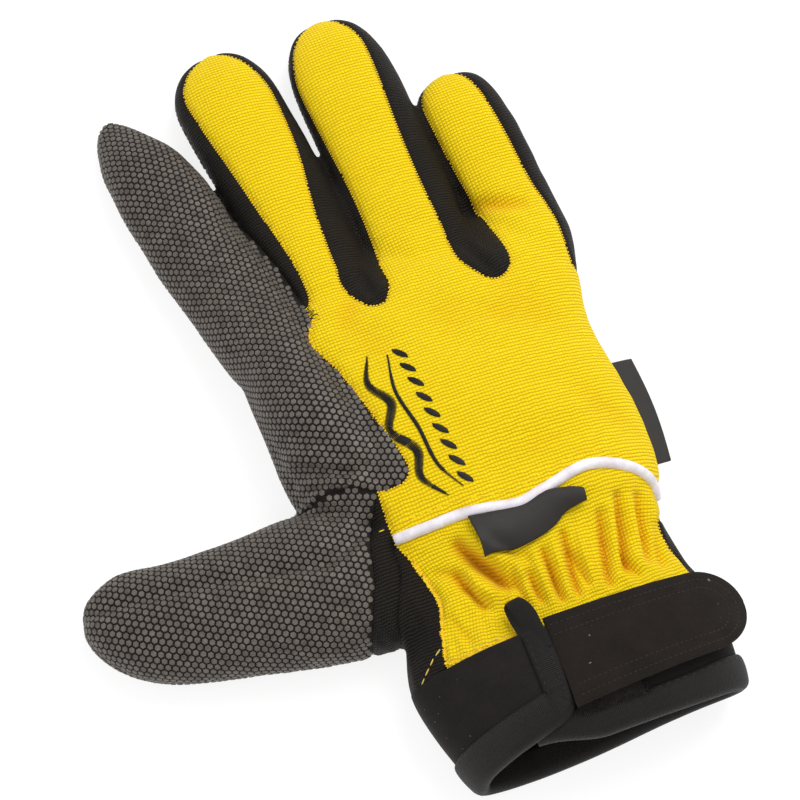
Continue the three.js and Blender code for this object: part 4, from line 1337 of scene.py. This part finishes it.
# A line inside the strap's edge: forward along the top, round the end and back
def strapEdge(inset):
    half = strap["width"] / 2 - inset
    straight = strap["end"] - strap["start"] - strap["width"] / 2
    line = [(forward, half) for forward in np.linspace(1.5, straight, 60)]
    line += [(straight + half * math.sin(a), half * math.cos(a))
             for a in np.linspace(0.05, math.pi - 0.05, 40)]
    return line + [(forward, -half) for forward in np.linspace(straight, 1.5, 60)]


def makeStrap():
    half = strap["width"] / 2
    length = strap["end"] - strap["start"]
    turns = np.linspace(0.05, 1.55, 20)
    forwards = [*np.linspace(0, length - half, 60), *(length - half + half * np.sin(turns))]
    rows = []
    for share in np.linspace(-1, 1, 29):
        row = []
        for forward in forwards:
            past = max(forward - (length - half), 0) / half
            aside = share * half * math.sqrt(max(1 - past**2, 0.0004))
            row.append((strapPlace(forward, aside), (aside, forward)))
        rows.append(row)
    made = thicken(sheet("strap_tab", rows), -strap["thickness"], 0.45)
    tree = treeOf(made)
    frames = []
    for inset in strap["rows"]:
        line = [strapPlace(forward, aside, strap["thickness"] + 0.3) for forward, aside in strapEdge(inset)]
        frames += stitchFrames(line, tree, 1.15, 0.5, 0.46, 0.06)
    finished(made, [finishes["strap"]], "strap_fabric", ["strap"])
    stitches("strap_stitches", frames, "blackThread", "strap_fabric")


def makePatch():
    rows = []
    for y in np.linspace(patch["low"], patch["high"], 14):
        row = []
        for roundAt in np.linspace(patch["start"], patch["end"], 40):
            bumps = 0.25 * noise.noise(Vector((roundAt * 0.3, y * 0.3, 1)))
            row.append((onCuff(roundAt, y, patch["out"] + bumps), (roundAt, y)))
        rows.append(row)
    made = thicken(sheet("loop_tab", rows), -patch["thickness"], 0.3)
    return finished(made, [finishes["patch"]], "strap_fabric", ["loop_patch"])


# A round cord along a line of points
def tube(name, points, radius, sides=14):
    points = [Vector(p) for p in points]
    rings = []
    side = None
    for i, point in enumerate(points):
        ahead = (points[min(i + 1, len(points) - 1)] - points[max(i - 1, 0)]).normalized()
        side = side or ahead.orthogonal()
        side = (side - ahead * side.dot(ahead)).normalized()
        up = ahead.cross(side)
        rings.append([point + radius * (side * math.cos(a) + up * math.sin(a))
                      for a in np.linspace(0, 2 * math.pi, sides + 1)])
    bm = loft(rings)
    for face in bm.faces:
        face.smooth = True
    return objectOf(bm, name)


def onSkin(x, y, out=0.0):
    place, normal, _, _ = skinTree.ray_cast(Vector((x, y, 90)), Vector((0, 0, -1)))
    if place is None:
        place, normal, _, _ = skinTree.find_nearest(Vector((x, y, 15)))
    return place + normal * out, normal


piping = {"radius": 1.75, "out": 0.95, "smoothing": 6}


def makePiping():
    line = [onSkin(*point)[0] + Vector((0, 0, piping["out"])) for point in handLine(seams["piping"], 10)]
    for _ in range(piping["smoothing"]):
        line = [line[0], *((a + b * 2 + c) / 4 for a, b, c in zip(line, line[1:], line[2:])), line[-1]]
    cord = tube("piping_cord", line, piping["radius"])
    return finished(cord, [finishes["cord"]], "piping", ["piping"])


wristLabel = {
    "low": [(-15.5, 60.6), (-9, 59.8), (-1, 60.2), (6, 62.2), (11, 65.2), (15.5, 66.2), (18.6, 66.6)],
    "high": [(-16.5, 73), (-9, 71.8), (-1, 71.8), (6, 72.6), (11, 72), (15.5, 71), (18.9, 69.6)],
    "out": 0.7, "bulge": 1.2, "lobe": 1.0, "thickness": 0.8,
}


def makeWristLabel():
    low, high = (smoothLine(wristLabel[edge], 8) for edge in ("low", "high"))
    rows = []
    for t in np.linspace(0, 1, 14):
        row = []
        for k, (a, b) in enumerate(zip(low, high)):
            s = k / (len(low) - 1)
            x, y = a.lerp(b, t)
            out = wristLabel["out"] + wristLabel["bulge"] * math.sin(math.pi * t) ** 0.7
            out += wristLabel["lobe"] * smoothStep((s - 0.65) / 0.3) + 0.4 * math.sin(9 * s + 2 * t)
            surface, _ = onSkin(x, y)
            row.append((surface + Vector((0, 0, out)), (t * 11, s * 36)))
        rows.append(row)
    made = thicken(sheet("wrist_tab", rows), -wristLabel["thickness"], 0.25)
    return finished(made, [finishes["label"]], "label", ["wrist_label"])


sideLabel = {"near": 42.5, "far": 52.2, "low": 75, "high": 111, "z": 14.2, "thickness": 1.0}


def makeSideLabel():
    rows = []
    for t in np.linspace(0, 1, 12):
        row = []
        for s in np.linspace(0, 1, 30):
            y = sideLabel["low"] + s * (sideLabel["high"] - sideLabel["low"])
            bow = 1.1 * math.sin(math.pi * s)
            x = sideLabel["near"] + t * (sideLabel["far"] - sideLabel["near"])
            x += bow * t + 1.5 * (s - 0.5) * t
            z = sideLabel["z"] + 0.9 * math.sin(2.2 * s + 1.2 * t) - 1.6 * t * t
            row.append((Vector((x, y, z)), (t * 10, s * 36)))
        rows.append(row)
    made = thicken(sheet("side_tab", rows), sideLabel["thickness"], 0.2)
    return finished(made, [finishes["label"]], "label", ["side_label"])


# Threads: a bead with few faces, laid along a line on a surface
def threadShape():
    bm = bmesh.new()
    bmesh.ops.create_uvsphere(bm, u_segments=5, v_segments=4, radius=0.5)
    bmesh.ops.rotate(bm, verts=bm.verts, matrix=Matrix.Rotation(math.pi / 2, 3, "Y"))
    for face in bm.faces:
        face.smooth = True
    return bm


def stitchFrames(line, tree, length, space, width, sink=0.0, jitter=0.06):
    line = [Vector(p) for p in line]
    frames = []
    distance = 0
    for a, b in zip(line, line[1:]):
        span = (b - a).length
        while distance < span:
            point = a.lerp(b, distance / span)
            place, normal, _, _ = tree.find_nearest(point)
            turn = Matrix.Rotation(random.uniform(-jitter, jitter), 3, normal)
            axes = axesOf(turn @ (b - a), normal, length, width, width * 0.8)
            frames.append((place - normal * sink, axes))
            distance += length + space
        distance -= span
    return frames


def stitches(name, frames, finish, slotName):
    return finished(stamp(name, threadShape(), frames), [finishes[finish]], slotName)


makeCuff()
makeBindings()
makeStrap()
makePatch()
makePiping()
makeWristLabel()
makeSideLabel()
print("cuff, bindings, strap, piping and labels made")


# Threads on the cloth
def clothStitches(name, rows, finish, slotName, length, space, width, out=0.1, jitter=0.06):
    line = [onSkin(x, y, out)[0] for x, y in smoothLine([at(*row) for row in rows], 10)]
    return stitches(name, stitchFrames(line, skinTree, length, space, width, 0.0, jitter), finish, slotName)


# Satin stitches side by side fill strokes: points with a width, seen from above
motif = {
    "waves": [
        [(0.335, 0.66, 0.6), (0.31, 0.56, 2.6), (0.345, 0.47, 3.6), (0.31, 0.38, 3.2),
         (0.345, 0.29, 3.6), (0.3, 0.2, 2.6), (0.32, 0.11, 0.5)],
        [(0.39, 0.64, 0.5), (0.37, 0.5, 1.3), (0.385, 0.36, 1.5), (0.365, 0.22, 1.3), (0.375, 0.12, 0.5)],
    ],
    "leaves": 9, "leafFrom": (0.425, 0.63), "leafTo": (0.4, 0.15), "leafLength": 5.6, "leafWidth": 2.1,
    "leafTurn": 52, "pitch": 0.3, "thread": 0.36, "out": 0.18,
}


def satin(points):
    line = smoothLine(points, 24)
    frames = []
    for a, b in zip(line, line[1:]):
        ahead = Vector((b.x - a.x, b.y - a.y, 0))
        if ahead.length < 1e-6:
            continue
        count = max(round(ahead.length / motif["pitch"]), 1)
        for k in range(count):
            point = a.lerp(b, k / count)
            place, normal = onSkin(point.x, point.y, motif["out"])
            aside = Vector((-ahead.y, ahead.x, 0)) + ahead * 0.35
            length = max(point.z, 0.4) + random.uniform(-0.15, 0.15)
            frames.append((place, axesOf(aside, normal, length, motif["thread"], 0.5)))
    return frames


def makeMotif():
    frames = []
    for wave in motif["waves"]:
        frames += satin([(*at(across, along), width) for across, along, width in wave])
    start, end = Vector(at(*motif["leafFrom"])), Vector(at(*motif["leafTo"]))
    turn = math.radians(motif["leafTurn"])
    for k in range(motif["leaves"]):
        middle = start.lerp(end, k / (motif["leaves"] - 1))
        reach = Vector((math.cos(turn), -math.sin(turn))) * motif["leafLength"] / 2
        rows = [(*(middle + reach * t), motif["leafWidth"] * math.sqrt(max(1 - t * t, 0.02)))
                for t in np.linspace(-1, 1, 7)]
        frames += satin(rows)
    return stitches("stitched_motif", frames, "blackThread", "black_fabric")


makeMotif()
stitches("knit_edge", beadFrames, "yellowThread", "yellow_fabric")

# Rows of sewing: in the cloth's own colour above the piping, and in cream at the hem and on the gusset
pipingRows = [(across, along + 0.045) for across, along in seams["piping"][:11]]
clothStitches("piping_stitches", pipingRows, "yellowThread", "yellow_fabric", 1.9, 0.8, 0.5, 0.02)
clothStitches("hem_stitches", [(0.135, -0.93), (0.22, -0.92), (0.3, -0.92), (0.37, -0.925)],
              "creamThread", "yellow_fabric", 1.5, 0.9, 0.42, 0.1, 0.3)
clothStitches("gusset_stitches", [(0.035, -0.99), (0.055, -0.93), (0.08, -0.86), (0.105, -0.815)],
              "creamThread", "black_fabric", 2.6, 0.7, 0.6, 0.15, 0.12)


# Raw edges: short fibres and loops that stand off a line
def fibres(name, rows, finish, slotName, count, length, width, spread, rise=0.5):
    line = smoothLine([at(*row) for row in rows], 16)
    frames = []
    for _ in range(count):
        where = random.random() * (len(line) - 1)
        i = int(where)
        a, b = line[i], line[min(i + 1, len(line) - 1)]
        point = a.lerp(b, where - i) + Vector((random.gauss(0, spread), random.gauss(0, spread)))
        place, normal = onSkin(point.x, point.y, 0.15)
        ahead = (b - a).normalized() if (b - a).length else Vector((0, 1))
        aside = Vector((-ahead.y, ahead.x, 0)) * random.choice((-1, 1))
        aside += Vector((random.gauss(0, 0.6), random.gauss(0, 0.6), 0))
        lean = (aside.normalized() + normal * random.uniform(0, rise)).normalized()
        side = lean.cross(normal).normalized()
        size = length * random.uniform(0.5, 1.3)
        frames.append((place, (lean * size, side * width, lean.cross(side) * width)))
    return stitches(name, frames, finish, slotName)


hemRows = [(0.118, -0.97), (0.2, -0.97), (0.3, -0.965), (0.385, -0.965)]
fibres("hem_fray", hemRows, "yellowThread", "yellow_fabric", 420, 1.5, 0.34, 0.35)
fibres("gusset_fray", [(0.092, -0.1), (0.115, -0.284), (0.136, -0.466), (0.128, -0.64), (0.115, -0.95)],
       "yellowThread", "yellow_fabric", 420, 1.2, 0.36, 0.22)
fibres("tongue_fray", seams["tongueEdge"], "yellowThread", "yellow_fabric", 200, 1.0, 0.22, 0.35)
fibres("index_fray", [(0.225, 0.87), (0.213, 0.92)], "blackThread", "grip_fabric", 60, 1.6, 0.16, 0.8, 1.0)


# Torn loops along the patch's edge
def patchFuzz(count):
    frames = []
    for _ in range(count):
        roundAt = random.uniform(patch["start"], patch["end"] + 2)
        y = patch["low"] + abs(random.gauss(0, 1.3)) - 0.4
        place = onCuff(roundAt, y, patch["out"] + random.uniform(0.7, 1.3))
        lean = Vector((random.gauss(0, 1), random.gauss(-0.5, 1), random.uniform(0, 0.9))).normalized()
        side = lean.orthogonal().normalized()
        size = random.uniform(0.6, 1.6)
        frames.append((place, (lean * size, side * 0.13, lean.cross(side) * 0.13)))
    return stitches("patch_fuzz", frames, "blackThread", "strap_fabric")


patchFuzz(420)
print("stitches, motif and fibres made")

# Floor and light
studio = {"floor": 12.0, "glow": 0.8, "key": 7.4, "fill": 2.6, "world": 0.6}


def makeStudio():
    bpy.ops.mesh.primitive_plane_add(size=studio["floor"])
    floor = bpy.context.object
    floor.name = "floor"
    material, surface = newMaterial("pale_floor", 0.9, specular=0.1)
    surface.inputs["Base Color"].default_value = (0.3, 0.3, 0.3, 1)
    surface.inputs["Emission Color"].default_value = (1, 1, 1, 1)
    surface.inputs["Emission Strength"].default_value = studio["glow"]
    floor.data.materials.append(material)
    for name, place, size, energy in [
        ("key light", (0.55, 0.35, 0.9), 0.7, studio["key"]),
        ("fill light", (-0.7, -0.3, 0.8), 1.0, studio["fill"]),
    ]:
        lamp = bpy.data.lights.new(name, "AREA")
        lamp.size = size
        lamp.energy = energy
        light = bpy.data.objects.new(name, lamp)
        light.location = place
        light.rotation_euler = (-Vector(place)).to_track_quat("-Z", "Y").to_euler()
        bpy.context.scene.collection.objects.link(light)
    world = bpy.data.worlds.new("studio")
    world.use_nodes = True
    world.node_tree.nodes["Background"].inputs["Color"].default_value = (1, 1, 1, 1)
    world.node_tree.nodes["Background"].inputs["Strength"].default_value = studio["world"]
    bpy.context.scene.world = world
    bpy.context.scene.view_settings.view_transform = "Standard"


makeStudio()
